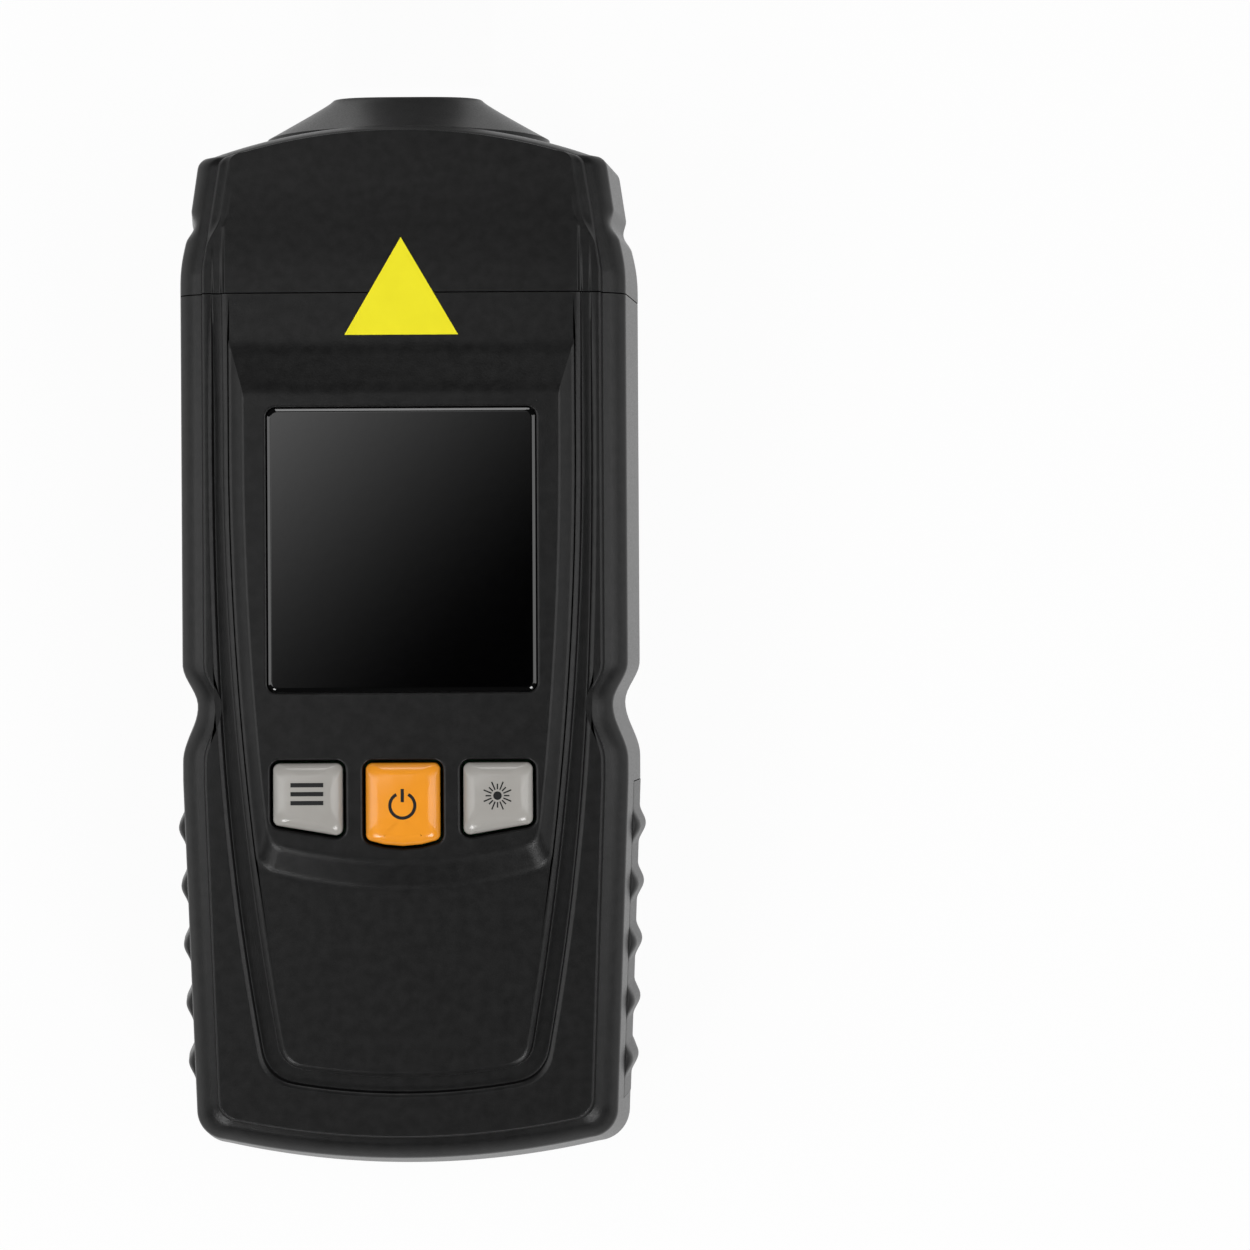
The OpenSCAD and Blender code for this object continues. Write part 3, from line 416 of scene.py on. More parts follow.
def drawn_in(corners, d):
    """Convex polygon with each side moved inwards by d, or outwards where d is negative."""
    p, _, half, middle = corner_frame(corners)
    return p + middle * (d / np.sin(half))[:, None]


def rectangle(w, h, x=0.0, y=0.0):
    """Corners of a rectangle round a middle, run anticlockwise."""
    return np.array([[-w, -h], [w, -h], [w, h], [-w, h]]) / 2 + [x, y]


def at_height(outline, z):
    """Flat outline as points at one height."""
    return np.column_stack([outline, np.full(len(outline), z)])


# Meshes


def strip_faces(rows, cols, closed):
    """Quads between the rows of a grid of points, numbered row by row."""
    i, j = np.meshgrid(np.arange(rows - 1), np.arange(cols if closed else cols - 1), indexing="ij")
    k = (j + 1) % cols
    quads = [i * cols + j, i * cols + k, (i + 1) * cols + k, (i + 1) * cols + j]
    return np.stack(quads, axis=2).reshape(-1, 4)


def skin(rings, closed=True):
    """Patch through a stack of rings with equally many points."""
    rings = np.stack(rings)
    return rings.reshape(-1, 3), strip_faces(rings.shape[0], rings.shape[1], closed).tolist()


def open_skin(rings, capped=True):
    """Patch through U rings without the strip across their open end, which one flat face can close."""
    points, faces = skin(rings)
    cols = len(rings[0])
    faces = [f for f in faces if f[0] % cols != cols // 2 - 1]
    if capped:
        right = np.arange(len(rings)) * cols + cols // 2 - 1
        faces.append(right.tolist() + (right[::-1] + 1).tolist())
    return points, faces


def lid(outline):
    """Flat face inside one closed outline."""
    return outline, [list(range(len(outline)))]


def filled(rings):
    """Patches of a closed body: a skin through rings and a lid at each end."""
    return [skin(rings), lid(rings[0]), lid(rings[-1])]


def pierced(outline, holes):
    """Flat face inside an outline with holes in it, split into the triangles whose middle is inside by the
    even-odd rule."""
    loops = [outline] + list(holes)
    points = np.concatenate(loops)
    edges = []
    start = 0
    for loop in loops:
        k = np.arange(len(loop))
        edges += np.stack([start + k, start + (k + 1) % len(loop)], axis=1).tolist()
        start += len(loop)
    flat, _, faces, _, _, _ = delaunay_2d_cdt([tuple(p) for p in points[:, :2]], edges, [], 0, 1e-5)
    flat = np.array([tuple(p) for p in flat])
    x, y = flat[np.array(faces)].mean(axis=1).T[:, :, None]
    start, end = points[np.array(edges).T, :2]
    spans = (start[:, 1] > y) != (end[:, 1] > y)
    rise = np.where(end[:, 1] == start[:, 1], 1, end[:, 1] - start[:, 1])
    across = start[:, 0] + (y - start[:, 1]) * (end[:, 0] - start[:, 0]) / rise
    inside = (spans & (across > x)).sum(axis=1) % 2 == 1
    return at_height(flat, outline[0, 2]), [list(f) for f, kept in zip(faces, inside) if kept]


def prism(flat, low, high, axis="Z"):
    """Bar with a flat outline, along Z between two ends, or along Y with the outline in X and Z."""
    ends = [at_height(flat, low), at_height(flat, high)]
    if axis == "Y":
        ends = [e[:, [0, 2, 1]] for e in ends]
    return filled(ends)


def block(low, high):
    """Box between two corners."""
    base = rectangle(1, 1, 0.5, 0.5) * (np.array(high[:2]) - low[:2]) + low[:2]
    return prism(base, low[2], high[2])


def disc(centre, radius, low, high, axis="Z", n=64):
    """Round bar through a centre, between two ends."""
    a = np.arange(n) * 2 * np.pi / n
    return prism(np.stack([np.cos(a), np.sin(a)], axis=1) * radius + centre, low, high, axis)


def screw_seats(places, radius, depth):
    """Round sinkings in the back, at places on the right and their mirror places."""
    return [disc((sign * x, y), radius, -1, depth) for x, y in places for sign in (-1, 1)]


def piece(name, patches, sharp=32):
    """Object from patches whose shared edges are joined, with smooth shading up to the sharp angle in
    degrees."""
    points = np.concatenate([p for p, _ in patches])
    faces = []
    start = 0
    for p, f in patches:
        faces += [[start + i for i in face] for face in f]
        start += len(p)
    mesh = bpy.data.meshes.new(name)
    mesh.from_pydata((points * MM).tolist(), [], faces)
    work = bmesh.new()
    work.from_mesh(mesh)
    bmesh.ops.remove_doubles(work, verts=work.verts, dist=2e-6)
    bmesh.ops.dissolve_degenerate(work, dist=1e-7, edges=work.edges)
    bmesh.ops.recalc_face_normals(work, faces=work.faces)
    work.to_mesh(mesh)
    work.free()
    obj = bpy.data.objects.new(name, mesh)
    bpy.context.scene.collection.objects.link(obj)
    soften(obj, sharp)
    return obj


def soften(obj, sharp):
    """Smooth shading up to the sharp angle, in which large flats stay flat."""
    obj.data.shade_smooth()
    obj.data.set_sharp_from_angle(angle=math.radians(sharp))
    flats = obj.modifiers.new("flats", "WEIGHTED_NORMAL")
    flats.keep_sharp = True


def combine(obj, others, operation):
    """Boolean of an object with others, without their shading normals; the others are dropped."""
    for solid in [obj] + others:
        solid.modifiers.clear()
    for other in others:
        step = obj.modifiers.new("step", "BOOLEAN")
        step.operation = operation
        step.solver = "EXACT"
        step.object = other
    mesh = bpy.data.meshes.new_from_object(obj.evaluated_get(bpy.context.evaluated_depsgraph_get()))
    obj.modifiers.clear()
    obj.data = mesh
    for other in others:
        bpy.data.objects.remove(other)


def shape(obj, tools, operation="DIFFERENCE", sharp=32):
    """Cuts patches out of an object, or joins them to it."""
    combine(obj, [piece("tool", patches) for patches in tools], operation)
    soften(obj, sharp)
    return obj


# Keys


def side_key(sign):
    """Outline of an outer key: square above, slanted below, deeper on its inner side."""
    inner, outer = SIDE_KEY_X
    x = np.array([inner, outer, outer, inner]) * sign
    y = np.array([KEY_Y - SIDE_KEY_LEN[0], KEY_Y - SIDE_KEY_LEN[1], KEY_Y, KEY_Y])
    return np.column_stack([x, y])[::sign]


def middle_key():
    """Outline of the middle key: square above, bowed as a parabola below."""
    t = np.linspace(-1, 1, 5)
    bow = np.column_stack([POWER_HALF * t, KEY_Y - POWER_LEN + POWER_BOW * t**2])
    return np.concatenate([bow, [[POWER_HALF, KEY_Y], [-POWER_HALF, KEY_Y]]])


KEYS = {"memory": side_key(-1), "power": middle_key(), "laser": side_key(1)}


def key_dome(corners, x, y):
    """Height of a key's top: a shallow bowl turned over, highest in the middle of the outline."""
    low, high = corners.min(axis=0), corners.max(axis=0)
    middle, reach = (low + high) / 2, (high - low) / 2
    return KEY_TOP - KEY_DOME * (((x - middle[0]) / reach[0]) ** 2 + ((y - middle[1]) / reach[1]) ** 2)


def key_ring(corners, d, drop):
    """Outline of a key drawn in by d, with corners that grow rounder inwards, at its dome less a drop."""
    flat = rounded(drawn_in(corners, d), KEY_R + 0.7 * d)
    return np.column_stack([flat, key_dome(corners, flat[:, 0], flat[:, 1]) - drop])


def make_key(name):
    """Key with a straight skirt, an edge rounded through a quarter ellipse and a domed top."""
    corners = KEYS[name]
    rows = [at_height(rounded(corners, KEY_R), SKIRT_Z)]
    for a in np.linspace(0, np.pi / 2, 10):
        rows.append(key_ring(corners, KEY_EDGE[0] * (1 - math.cos(a)), KEY_EDGE[1] * (1 - math.sin(a))))
    edge = rows[-1][:, :2]
    middle = edge.mean(axis=0)
    for share in (0.75, 0.5, 0.25):
        flat = middle + (edge - middle) * share
        rows.append(np.column_stack([flat, key_dome(corners, flat[:, 0], flat[:, 1])]))
    return piece(name + "_cap", filled(rows), 50)


def grid_rim(grid):
    """Points round the border of a grid."""
    return np.concatenate([grid[0], grid[1:, -1], grid[-1, -2::-1], grid[-2:0:-1, 0]])


def legend(name, key, grids):
    """Printed mark on a key: grids of (x, y) points, laid on the dome with a thin thickness."""
    patches = []
    for grid in grids:
        x, y = grid[..., 0], grid[..., 1]
        top = key_dome(KEYS[key], x, y) + MARK_RISE
        upper = np.stack([x, y, top], axis=2)
        lower = np.stack([x, y, top - MARK_T], axis=2)
        patches += [skin(list(upper), False), skin(list(lower), False),
                    skin([grid_rim(upper), grid_rim(lower)])]
    return piece(name, patches)


def bar_grid(low, high, n=9):
    """Grid of points over a rectangle."""
    x, y = (np.linspace(a, b, n) for a, b in zip(low, high))
    return np.stack(np.meshgrid(x, y), axis=2)


def arc_grid(centre, inner, outer, start, end, n=64):
    """Grid of points over part of a ring, between two radii and two angles in degrees."""
    a, r = np.meshgrid(np.radians(np.linspace(start, end, n)), np.linspace(inner, outer, 4))
    return np.stack([centre[0] + r * np.cos(a), centre[1] + r * np.sin(a)], axis=2)


def dot_grid(centre, radius, n=17):
    """Grid of points over a disc: a square whose sides are bent to the circle."""
    u, v = np.meshgrid(np.linspace(-1, 1, n), np.linspace(-1, 1, n))
    return np.stack([centre[0] + radius * u * np.sqrt(1 - v**2 / 2),
                     centre[1] + radius * v * np.sqrt(1 - u**2 / 2)], axis=2)


def ray_grid(centre, inner, outer, angle, width):
    """Grid of points over a thin bar that points away from a centre."""
    r, s = np.meshgrid(np.linspace(inner, outer, 6), np.linspace(-width / 2, width / 2, 3))
    cosine, sine = math.cos(math.radians(angle)), math.sin(math.radians(angle))
    return np.stack([centre[0] + r * cosine - s * sine, centre[1] + r * sine + s * cosine], axis=2)


# Case pieces


def grip_pockets():
    """Prisms that make room for the two side grips."""
    y = np.linspace(GRIP_Y[0] - GRIP_GAP, GRIP_Y[1] + GRIP_GAP, 40)
    inner = np.column_stack([half_width(y) - GRIP_DEPTH - GRIP_GAP, y])
    outer = np.column_stack([np.full(len(y), TRUNK_HALF + 3), y[::-1]])
    flat = np.concatenate([inner, outer])
    return [prism(flat * [sign, 1], GRIP_Z[0] - GRIP_GAP, GRIP_Z[1] + GRIP_GAP) for sign in (1, -1)]


def key_hole(corners):
    """Rings of a key's hole, from a rounded edge on the panel down to the roof."""
    steps = [(0.36, PANEL_Z), (0.26, PANEL_Z), (0.1, PANEL_Z - 0.07), (0, PANEL_Z - 0.3), (0, ROOF_Z)]
    return [at_height(rounded(drawn_in(corners, -(KEY_CLEAR + d)), KEY_R + KEY_CLEAR + d), z)
            for d, z in steps]


def window_ring(d, z, corner):
    """Outline of the window grown by d."""
    return at_height(rounded(rectangle(WINDOW_W + 2 * d, WINDOW_H + 2 * d, 0, WINDOW_Y), corner), z)


def window_seat():
    """Rings of the window's hole: a rounded edge, the wall round the plate, its ledge and the lower wall."""
    base = WINDOW_Z - WINDOW_T
    steps = [(0.5, PANEL_Z), (0.32, PANEL_Z), (0.2, PANEL_Z - 0.06), (WINDOW_CLEAR, PANEL_Z - 0.2),
             (WINDOW_CLEAR, base), (-WINDOW_SEAT, base), (-WINDOW_SEAT, ROOF_Z)]
    return [window_ring(d, z, WINDOW_CORNER + max(d, 0)) for d, z in steps]


def make_front_shell():
    """U rings from the pocket under the panel down the cavity, over the rim, up the side, shoulder, plate
    and groove to the raised field and panel, whose pierced top is joined to the pierced roof by the walls of
    the holes."""
    pocket = [panel_ring(1, z, POCKET_GROW) for z in (ROOF_Z, CEILING_Z)]
    cavity = [trunk_ring(WALL + 1.4, CEILING_Z), trunk_ring(WALL, SPLIT_Z + PARTING)]
    rim = [(d, SPLIT_Z + h) for d, h in JOINT_ROWS]
    outer = [trunk_ring(d, z) for d, z in rim + shoulder_steps()]
    groove = [groove_ring(*row) for row in GROOVE_ROWS]
    field = [field_ring(*row) for row in FIELD_ROWS]
    bevel = [panel_ring(share, FIELD_Z + (PANEL_Z - FIELD_Z) * h) for share, h in BEVEL_ROWS]
    holes = [key_hole(corners) for corners in KEYS.values()] + [window_seat()]
    patches = [skin(pocket), skin([pocket[1], cavity[0]]), open_skin(cavity + outer + groove + field),
               skin([field[-1]] + bevel)]
    patches += [skin(rows) for rows in holes]
    patches += [pierced(bevel[-1], [rows[0] for rows in holes]),
                pierced(pocket[0], [rows[-1] for rows in holes])]
    return shape(piece("front_case", patches), grip_pockets())


def door_space(grow, height):
    """Boxes of the battery door and of its two tongues, grown by a clearance."""
    half = DOOR_HALF + grow
    plate = block((-half, FOOT_Y - 1, -1), (half, DOOR_Y + grow, height))
    half = TONGUE_HALF + grow
    tongue = block((-half, FOOT_Y - 1, TONGUE_Z[0] - grow), (half, DOOR_Y - 3 + grow, TONGUE_Z[1] + grow))
    return plate, tongue


def bay_walls():
    """Boxes of the wall above the bay, of the stepped walls beside it and of the rails that hold the door.
    Their ends differ a little, so that no two faces lie in one plane."""
    walls = [block((-15.0, DOOR_Y - 0.3, 1), (15.0, DOOR_Y + 1.2, 13.8))]
    low, high = BAY_WALL
    for x0, x1 in ((low, high), (-high, -low)):
        walls.append(block((x0, BATTERY_Y + 0.5, 1), (x1, DOOR_Y + 0.9, 14)))
        walls.append(block((x0 + 0.01, BATTERY_Y - 1.2, 4.6), (x1 - 0.01, DOOR_Y + 0.8, 13.9)))
    low, high = BAY_RAIL
    for x0, x1 in ((low, high), (-high, -low)):
        walls.append(block((x0, BATTERY_Y + 0.6, 1), (x1, DOOR_Y + 0.5, 4.2)))
    return walls


def make_rear_shell():
    """U rings from the flat back up the outside, over the rim and down the cavity, with the bay walls joined
    on and the door, battery, screws and grips cut out."""
    rim = [(d, SPLIT_Z - h) for d, h in JOINT_ROWS[::-1]]
    cavity = [(WALL, SPLIT_Z - PARTING), (WALL + 1, BACK_T + 3), (WALL + 4, BACK_T)]
    rows = [trunk_ring(d, z) for d, z in back_steps() + rim + cavity]
    shell = piece("rear_case", [open_skin(rows), lid(rows[0]), lid(rows[-1])])
    shape(shell, bay_walls(), "UNION")
    plate, tongue = door_space(DOOR_GAP, DOOR_ROOM)
    bay = block((-BAY_HALF, BATTERY_Y - 0.3, 1), (BAY_HALF, DOOR_Y - 0.4, BAY_TOP))
    seats = screw_seats(CASE_SCREWS, CASE_SEAT_R, CASE_SEAT_Z)
    return shape(shell, seats + [plate, tongue, bay] + grip_pockets())


def make_door():
    """The rear form crossed with the door's boxes, with five thumb grooves."""
    door = piece("door_leaf", filled([trunk_ring(d, z) for d, z in back_steps()]))
    plate, tongue = door_space(0, DOOR_T)
    combine(door, [shape(piece("door_boxes", plate), [tongue], "UNION")], "INTERSECT")
    starts = DOOR_Y - 9 - THUMB_PITCH * np.arange(5)
    return shape(door, [block((-THUMB_HALF, y, -1), (THUMB_HALF, y + THUMB_W, 0.5)) for y in starts])


def nose_ring(wide, tall, power, y, k):
    """Ring of the nose: an ellipse whose sine and cosine are raised to a power, squarer below one."""
    sine, cosine = np.sin(k), np.cos(k)
    return np.stack([wide * np.sign(sine) * np.abs(sine) ** power, np.full(len(k), y),
                     SPLIT_Z + tall * np.sign(cosine) * np.abs(cosine) ** power], axis=1)


def make_nose():
    """Rings of the nose: a straight root, a flare from base to neck that falls as a power, and the tip."""
    k = (np.arange(128) + 0.5) * 2 * np.pi / 128
    t = np.linspace(0, 1, 30)
    flare = (1 - t) ** 1.1
    wide, tall = (neck + (base - neck) * flare for base, neck in zip(NOSE_BASE, NOSE_NECK))
    power = NOSE_SQUARE + (1 - NOSE_SQUARE) * (1 - t)
    stages = [(*NOSE_BASE, 1, NOSE_ROOT_Y)]
    stages += list(zip(wide, tall, power, np.linspace(*NOSE_FLARE_Y, 30)))
    stages += [(*NOSE_TIP, NOSE_SQUARE, TIP_Y)]
    return filled([nose_ring(*stage, k) for stage in stages])


def nose_slot(grow, low, high):
    """Bar along Y with the outline of the nose window, grown by a clearance."""
    wide, tall = FILTER_SIZE
    flat = rounded(rectangle(wide + 2 * grow, tall + 2 * grow, 0, SPLIT_Z), FILTER_R + grow)
    return prism(flat, low, high, "Y")


def head_plate():
    """Grid of the front plate beyond the seam: x out to just past the groove, and a height that carries the
    ends of the raised field and of the groove as soft steps, which fade along y."""
    y = np.linspace(SEAM_Y + PARTING, NOTCH_Y + 5, 70)
    edge = head_width(y, PLATE_Z) - shoulder_steps()[-1][0] - HEAD_PINCH * pinch(y)
    reach = np.minimum(groove_width(y) + 0.35, edge - 0.12)
    u = np.concatenate([np.linspace(0, 0.9, 12), np.linspace(0.9, 1, 40)[1:]])
    x = reach[:, None] * np.concatenate([-u[::-1], u[1:]])
    side = np.abs(x)
    field_edge = np.minimum(field_width(y), reach - GROOVE_EASE)[:, None]
    y = np.broadcast_to(y[:, None], x.shape)
    fade = 1 - smooth((y - SEAM_Y - FIELD_FADE[0]) / FIELD_FADE[1])
    rise = (FIELD_Z - PLATE_Z) * fade * smooth((field_edge - side) / FIELD_EASE)
    groove = smooth((side - field_width(y)) / GROOVE_EASE) * smooth((groove_width(y) - side) / GROOVE_EASE)
    return np.stack([x, y, PLATE_Z + rise - groove_drop(y) * groove], axis=2)


def make_head():
    """Turned U rings from the flat back to the edge of the front plate, closed by the plate's grid, the flat
    round it and the section at the seam. The nose is joined on, and rooms, bores and screw seats are cut
    out."""
    back = back_steps()
    rows = [head_ring(d, d, z) for d, z in back[:BACK_N]]
    rows += [head_ring(d, d * HEAD_DRAFT, z) for d, z in back[BACK_N:] + [(0, SPLIT_Z)]]
    for d, z in shoulder_steps():
        pinched = HEAD_PINCH * smooth((z - PINCH_Z) / (PLATE_Z - PINCH_Z))
        rows.append(head_ring(d, d * HEAD_DRAFT, z, pinched))
    top = rows[-1]
    cols = len(top) // 2
    grid = head_plate()
    left, right, ahead, seam = grid[:, 0], grid[:, -1], grid[-1], grid[0]
    margin = np.concatenate([top[cols:], top[:cols], left, ahead[1:-1], right[::-1]])
    section = np.concatenate([[r[cols - 1] for r in rows], seam, [r[cols] for r in rows[::-1]]])
    head = piece("head_case", [open_skin(rows, False), lid(rows[0]), skin(list(grid), False), lid(margin),
                               lid(section)])
    shape(head, [make_nose()], "UNION")
    low, high = OPTICS_ROOM_Z
    rooms = [block((-SEAM_ROOM_HALF, SEAM_Y - 1, BACK_T), (SEAM_ROOM_HALF, NOTCH_Y, CEILING_Z)),
             block((-OPTICS_ROOM_HALF, SEAM_Y - 1, low), (OPTICS_ROOM_HALF, ROOM_Y, high))]
    bores = [disc((0, SPLIT_Z), NOSE_BORE_R, *NOSE_BORE_Y, "Y"), nose_slot(-0.5, ROOM_Y, TIP_Y - 1),
             nose_slot(0.1, FILTER_Y, TIP_Y + 2)]
    return shape(head, rooms + bores + screw_seats(CAP_SCREWS, CAP_SEAT_R, CAP_SEAT_Z))


def make_grip(sign):
    """Side grip: the case's side between two heights, with ribs that swell as cosine bumps and run out
    through a quarter circle above and below."""
    y = np.linspace(*GRIP_Y, 280)
    turn = GRIP_ROUND * (1 - np.cos(np.linspace(0, np.pi / 2, 12)))
    z = np.concatenate([GRIP_Z[0] + turn, np.linspace(*GRIP_FLAT, 16), GRIP_Z[1] - turn[::-1]])
    rib = dip(np.abs(y[:, None] - RIBS_Y).min(axis=1) / RIB_REACH)
    reach = np.minimum(z - GRIP_Z[0], GRIP_Z[1] - z)
    height = np.sqrt(np.clip(1 - (1 - np.minimum(reach / GRIP_ROUND, 1)) ** 2, 0, 1))[:, None]
    draft = np.where(z > SPLIT_Z, front_in(z), BACK_IN * (SPLIT_Z - z) / (SPLIT_Z - BACK_ROUND[1]))
    outer = half_width(y) - draft[:, None] + RIB_RISE * rib * height + GRIP_PROUD * height
    inner = np.broadcast_to(half_width(y) - GRIP_DEPTH, outer.shape)
    y = np.broadcast_to(y, outer.shape)
    z = np.broadcast_to(z[:, None], outer.shape)
    outside, inside = np.stack([outer, y, z], axis=2), np.stack([inner, y, z], axis=2)
    rows = np.concatenate([outside, inside[:, ::-1]], axis=1) * [sign, 1, 1]
    return piece("grip_left" if sign < 0 else "grip_right", filled(list(rows)), 40)


def make_window():
    """Clear plate with a narrow bevel round its face."""
    steps = [(0, WINDOW_T), (0, 0.26), (0.02, 0.19), (0.06, 0.16), (0.3, 0.02), (0.36, 0), (0.5, 0)]
    rows = [window_ring(-d, WINDOW_Z - drop, WINDOW_CORNER - d / 2) for d, drop in steps]
    return piece("display_pane", filled(rows))


# Materials


def surface_group():
    """Mottle and fine grain: two noises give a colour between two tones, a roughness between two values and
    a height for a bump."""
    group = bpy.data.node_groups.new("moulded_surface", "ShaderNodeTree")
    colour, number = "NodeSocketColor", "NodeSocketFloat"
    for name, kind in [("Tone A", colour), ("Tone B", colour), ("Mottle Scale", number),
                       ("Grain Scale", number), ("Rough Low", number), ("Rough High", number)]:
        group.interface.new_socket(name, in_out="INPUT", socket_type=kind)
    for name, kind in [("Color", colour), ("Roughness", number), ("Height", number)]:
        group.interface.new_socket(name, in_out="OUTPUT", socket_type=kind)
    add = group.nodes.new
    link = group.links.new
    inputs, outputs = add("NodeGroupInput"), add("NodeGroupOutput")
    coords = add("ShaderNodeTexCoord")
    mottle, grain = add("ShaderNodeTexNoise"), add("ShaderNodeTexNoise")
    mottle.inputs["Detail"].default_value = 3
    grain.inputs["Detail"].default_value = 2
    tone = add("ShaderNodeMix")
    tone.data_type = "RGBA"
    spread, rough = add("ShaderNodeMapRange"), add("ShaderNodeMapRange")
    for node in (spread, rough):
        node.inputs["From Min"].default_value = 0.3
        node.inputs["From Max"].default_value = 0.7
    for noise, scale in ((mottle, "Mottle Scale"), (grain, "Grain Scale")):
        link(coords.outputs["Object"], noise.inputs["Vector"])
        link(inputs.outputs[scale], noise.inputs["Scale"])
    link(mottle.outputs["Fac"], spread.inputs["Value"])
    link(spread.outputs["Result"], tone.inputs["Factor"])
    link(inputs.outputs["Tone A"], tone.inputs["A"])
    link(inputs.outputs["Tone B"], tone.inputs["B"])
    link(grain.outputs["Fac"], rough.inputs["Value"])
    link(inputs.outputs["Rough Low"], rough.inputs["To Min"])
    link(inputs.outputs["Rough High"], rough.inputs["To Max"])
    link(tone.outputs["Result"], outputs.inputs["Color"])
    link(rough.outputs["Result"], outputs.inputs["Roughness"])
    link(grain.outputs["Fac"], outputs.inputs["Height"])
    return group


def new_material(name, bare=False):
    """Material with its nodes and the call that links them; a bare one starts without any node."""
    material = bpy.data.materials.new(name)
    material.use_nodes = True
    nodes, link = material.node_tree.nodes, material.node_tree.links.new
    if bare:
        nodes.clear()
    return material, nodes, link


SURFACE = surface_group()
GRAIN_DEPTH = 0.00004
FINISHES = {}


def finish(name, tone_a, tone_b, rough, scales, bump, **sockets):
    """Material from the surface group, with its own two tones, range of roughness, scales of mottle and
    grain, bump and plain sockets."""
    material, nodes, link = new_material(name)
    shader = nodes["Principled BSDF"]
    group = nodes.new("ShaderNodeGroup")
    group.node_tree = SURFACE
    group.inputs["Tone A"].default_value = (*tone_a, 1)
    group.inputs["Tone B"].default_value = (*tone_b, 1)
    group.inputs["Mottle Scale"].default_value, group.inputs["Grain Scale"].default_value = scales
    group.inputs["Rough Low"].default_value, group.inputs["Rough High"].default_value = rough
    relief = nodes.new("ShaderNodeBump")
    relief.inputs["Strength"].default_value = bump
    relief.inputs["Distance"].default_value = GRAIN_DEPTH
    link(group.outputs["Color"], shader.inputs["Base Color"])
    link(group.outputs["Roughness"], shader.inputs["Roughness"])
    link(group.outputs["Height"], relief.inputs["Height"])
    link(relief.outputs["Normal"], shader.inputs["Normal"])
    for socket, value in sockets.items():
        shader.inputs[socket.replace("_", " ")].default_value = value
    FINISHES[name] = material


FINE = (350, 5000)
GLASSY = (200, 900)
KEY_GRAIN = (300, 3500)
METAL_GRAIN = (900, 6000)
finish("case_black", (0.0045, 0.0045, 0.0046), (0.0098, 0.0098, 0.0099), (0.3, 0.4), (800, 5000), 0.3,
       Specular_IOR_Level=0.28)
finish("window_black", (0.0005, 0.0005, 0.0006), (0.0008, 0.0008, 0.0009), (0.05, 0.07), (60, 900), 0.02)
finish("key_grey", (0.375, 0.36, 0.335), (0.4, 0.385, 0.36), (0.17, 0.22), KEY_GRAIN, 0.03)
finish("key_orange", (0.92, 0.33, 0.02), (0.97, 0.355, 0.025), (0.17, 0.22), KEY_GRAIN, 0.03)
finish("grip_rubber", (0.0052, 0.0052, 0.0053), (0.0088, 0.0088, 0.0089), (0.34, 0.44), (900, 5000), 0.25,
       Specular_IOR_Level=0.3)
finish("marker_yellow", (0.93, 0.83, 0.0), (0.98, 0.88, 0.004), (0.4, 0.46), (250, 2500), 0.04)
finish("nose_filter", (0.06, 0.004, 0.005), (0.09, 0.006, 0.008), (0.06, 0.1), GLASSY, 0.02)
finish("lcd_glass", (0.28, 0.31, 0.26), (0.31, 0.34, 0.28), (0.08, 0.12), GLASSY, 0.02)
finish("clear_plastic", (0.75, 0.8, 0.83), (0.8, 0.85, 0.88), (0.12, 0.18), FINE, 0.03)
finish("white_plastic", (0.7, 0.7, 0.67), (0.76, 0.76, 0.73), (0.4, 0.5), FINE, 0.1)
finish("strip_rubber", (0.5, 0.09, 0.16), (0.57, 0.11, 0.19), (0.55, 0.65), FINE, 0.2)
finish("board_green", (0.015, 0.13, 0.04), (0.025, 0.18, 0.06), (0.28, 0.4), (500, 3000), 0.1)
finish("dark_plastic", (0.006, 0.006, 0.0065), (0.01, 0.01, 0.0105), (0.42, 0.55), FINE, 0.2,
       Specular_IOR_Level=0.3)
finish("bare_steel", (0.5, 0.51, 0.53), (0.6, 0.61, 0.63), (0.25, 0.4), METAL_GRAIN, 0.15, Metallic=1.0)
finish("capacitor_sleeve", (0.025, 0.04, 0.13), (0.035, 0.06, 0.17), (0.25, 0.35), FINE, 0.05)
finish("filter_plastic", (0.04, 0.015, 0.025), (0.055, 0.02, 0.035), (0.1, 0.18), FINE, 0.03)
finish("brass_barrel", (0.5, 0.32, 0.09), (0.6, 0.4, 0.12), (0.25, 0.38), METAL_GRAIN, 0.15, Metallic=1.0)
finish("lens_glass", (0.75, 0.85, 0.92), (0.8, 0.88, 0.94), (0.02, 0.05), GLASSY, 0.01,
       Transmission_Weight=1.0)
finish("red_sleeve", (0.4, 0.015, 0.015), (0.48, 0.025, 0.025), (0.4, 0.5), FINE, 0.1)
finish("black_sleeve", (0.01, 0.01, 0.01), (0.015, 0.015, 0.015), (0.4, 0.5), FINE, 0.1)
finish("foam", (0.08, 0.08, 0.09), (0.13, 0.13, 0.14), (0.85, 0.95), (900, 2500), 0.8)
finish("battery_sleeve", (0.05, 0.055, 0.06), (0.065, 0.07, 0.075), (0.25, 0.35), FINE, 0.08)


def dress(obj, slot):
    """Gives an object one finish."""
    obj.data.materials.clear()
    obj.data.materials.append(FINISHES[slot])


for part in frame["record"]["subparts"]:
    dress(frame["nodes"][part["node"]], part["material_slot"])


# Pieces in place


def place(obj, body, slot, *nodes):
    """Dresses a piece, lets it ride on a body and shows it for the nodes it replaces."""
    dress(obj, slot)
    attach(obj, body)
    if nodes:
        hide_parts(*nodes)


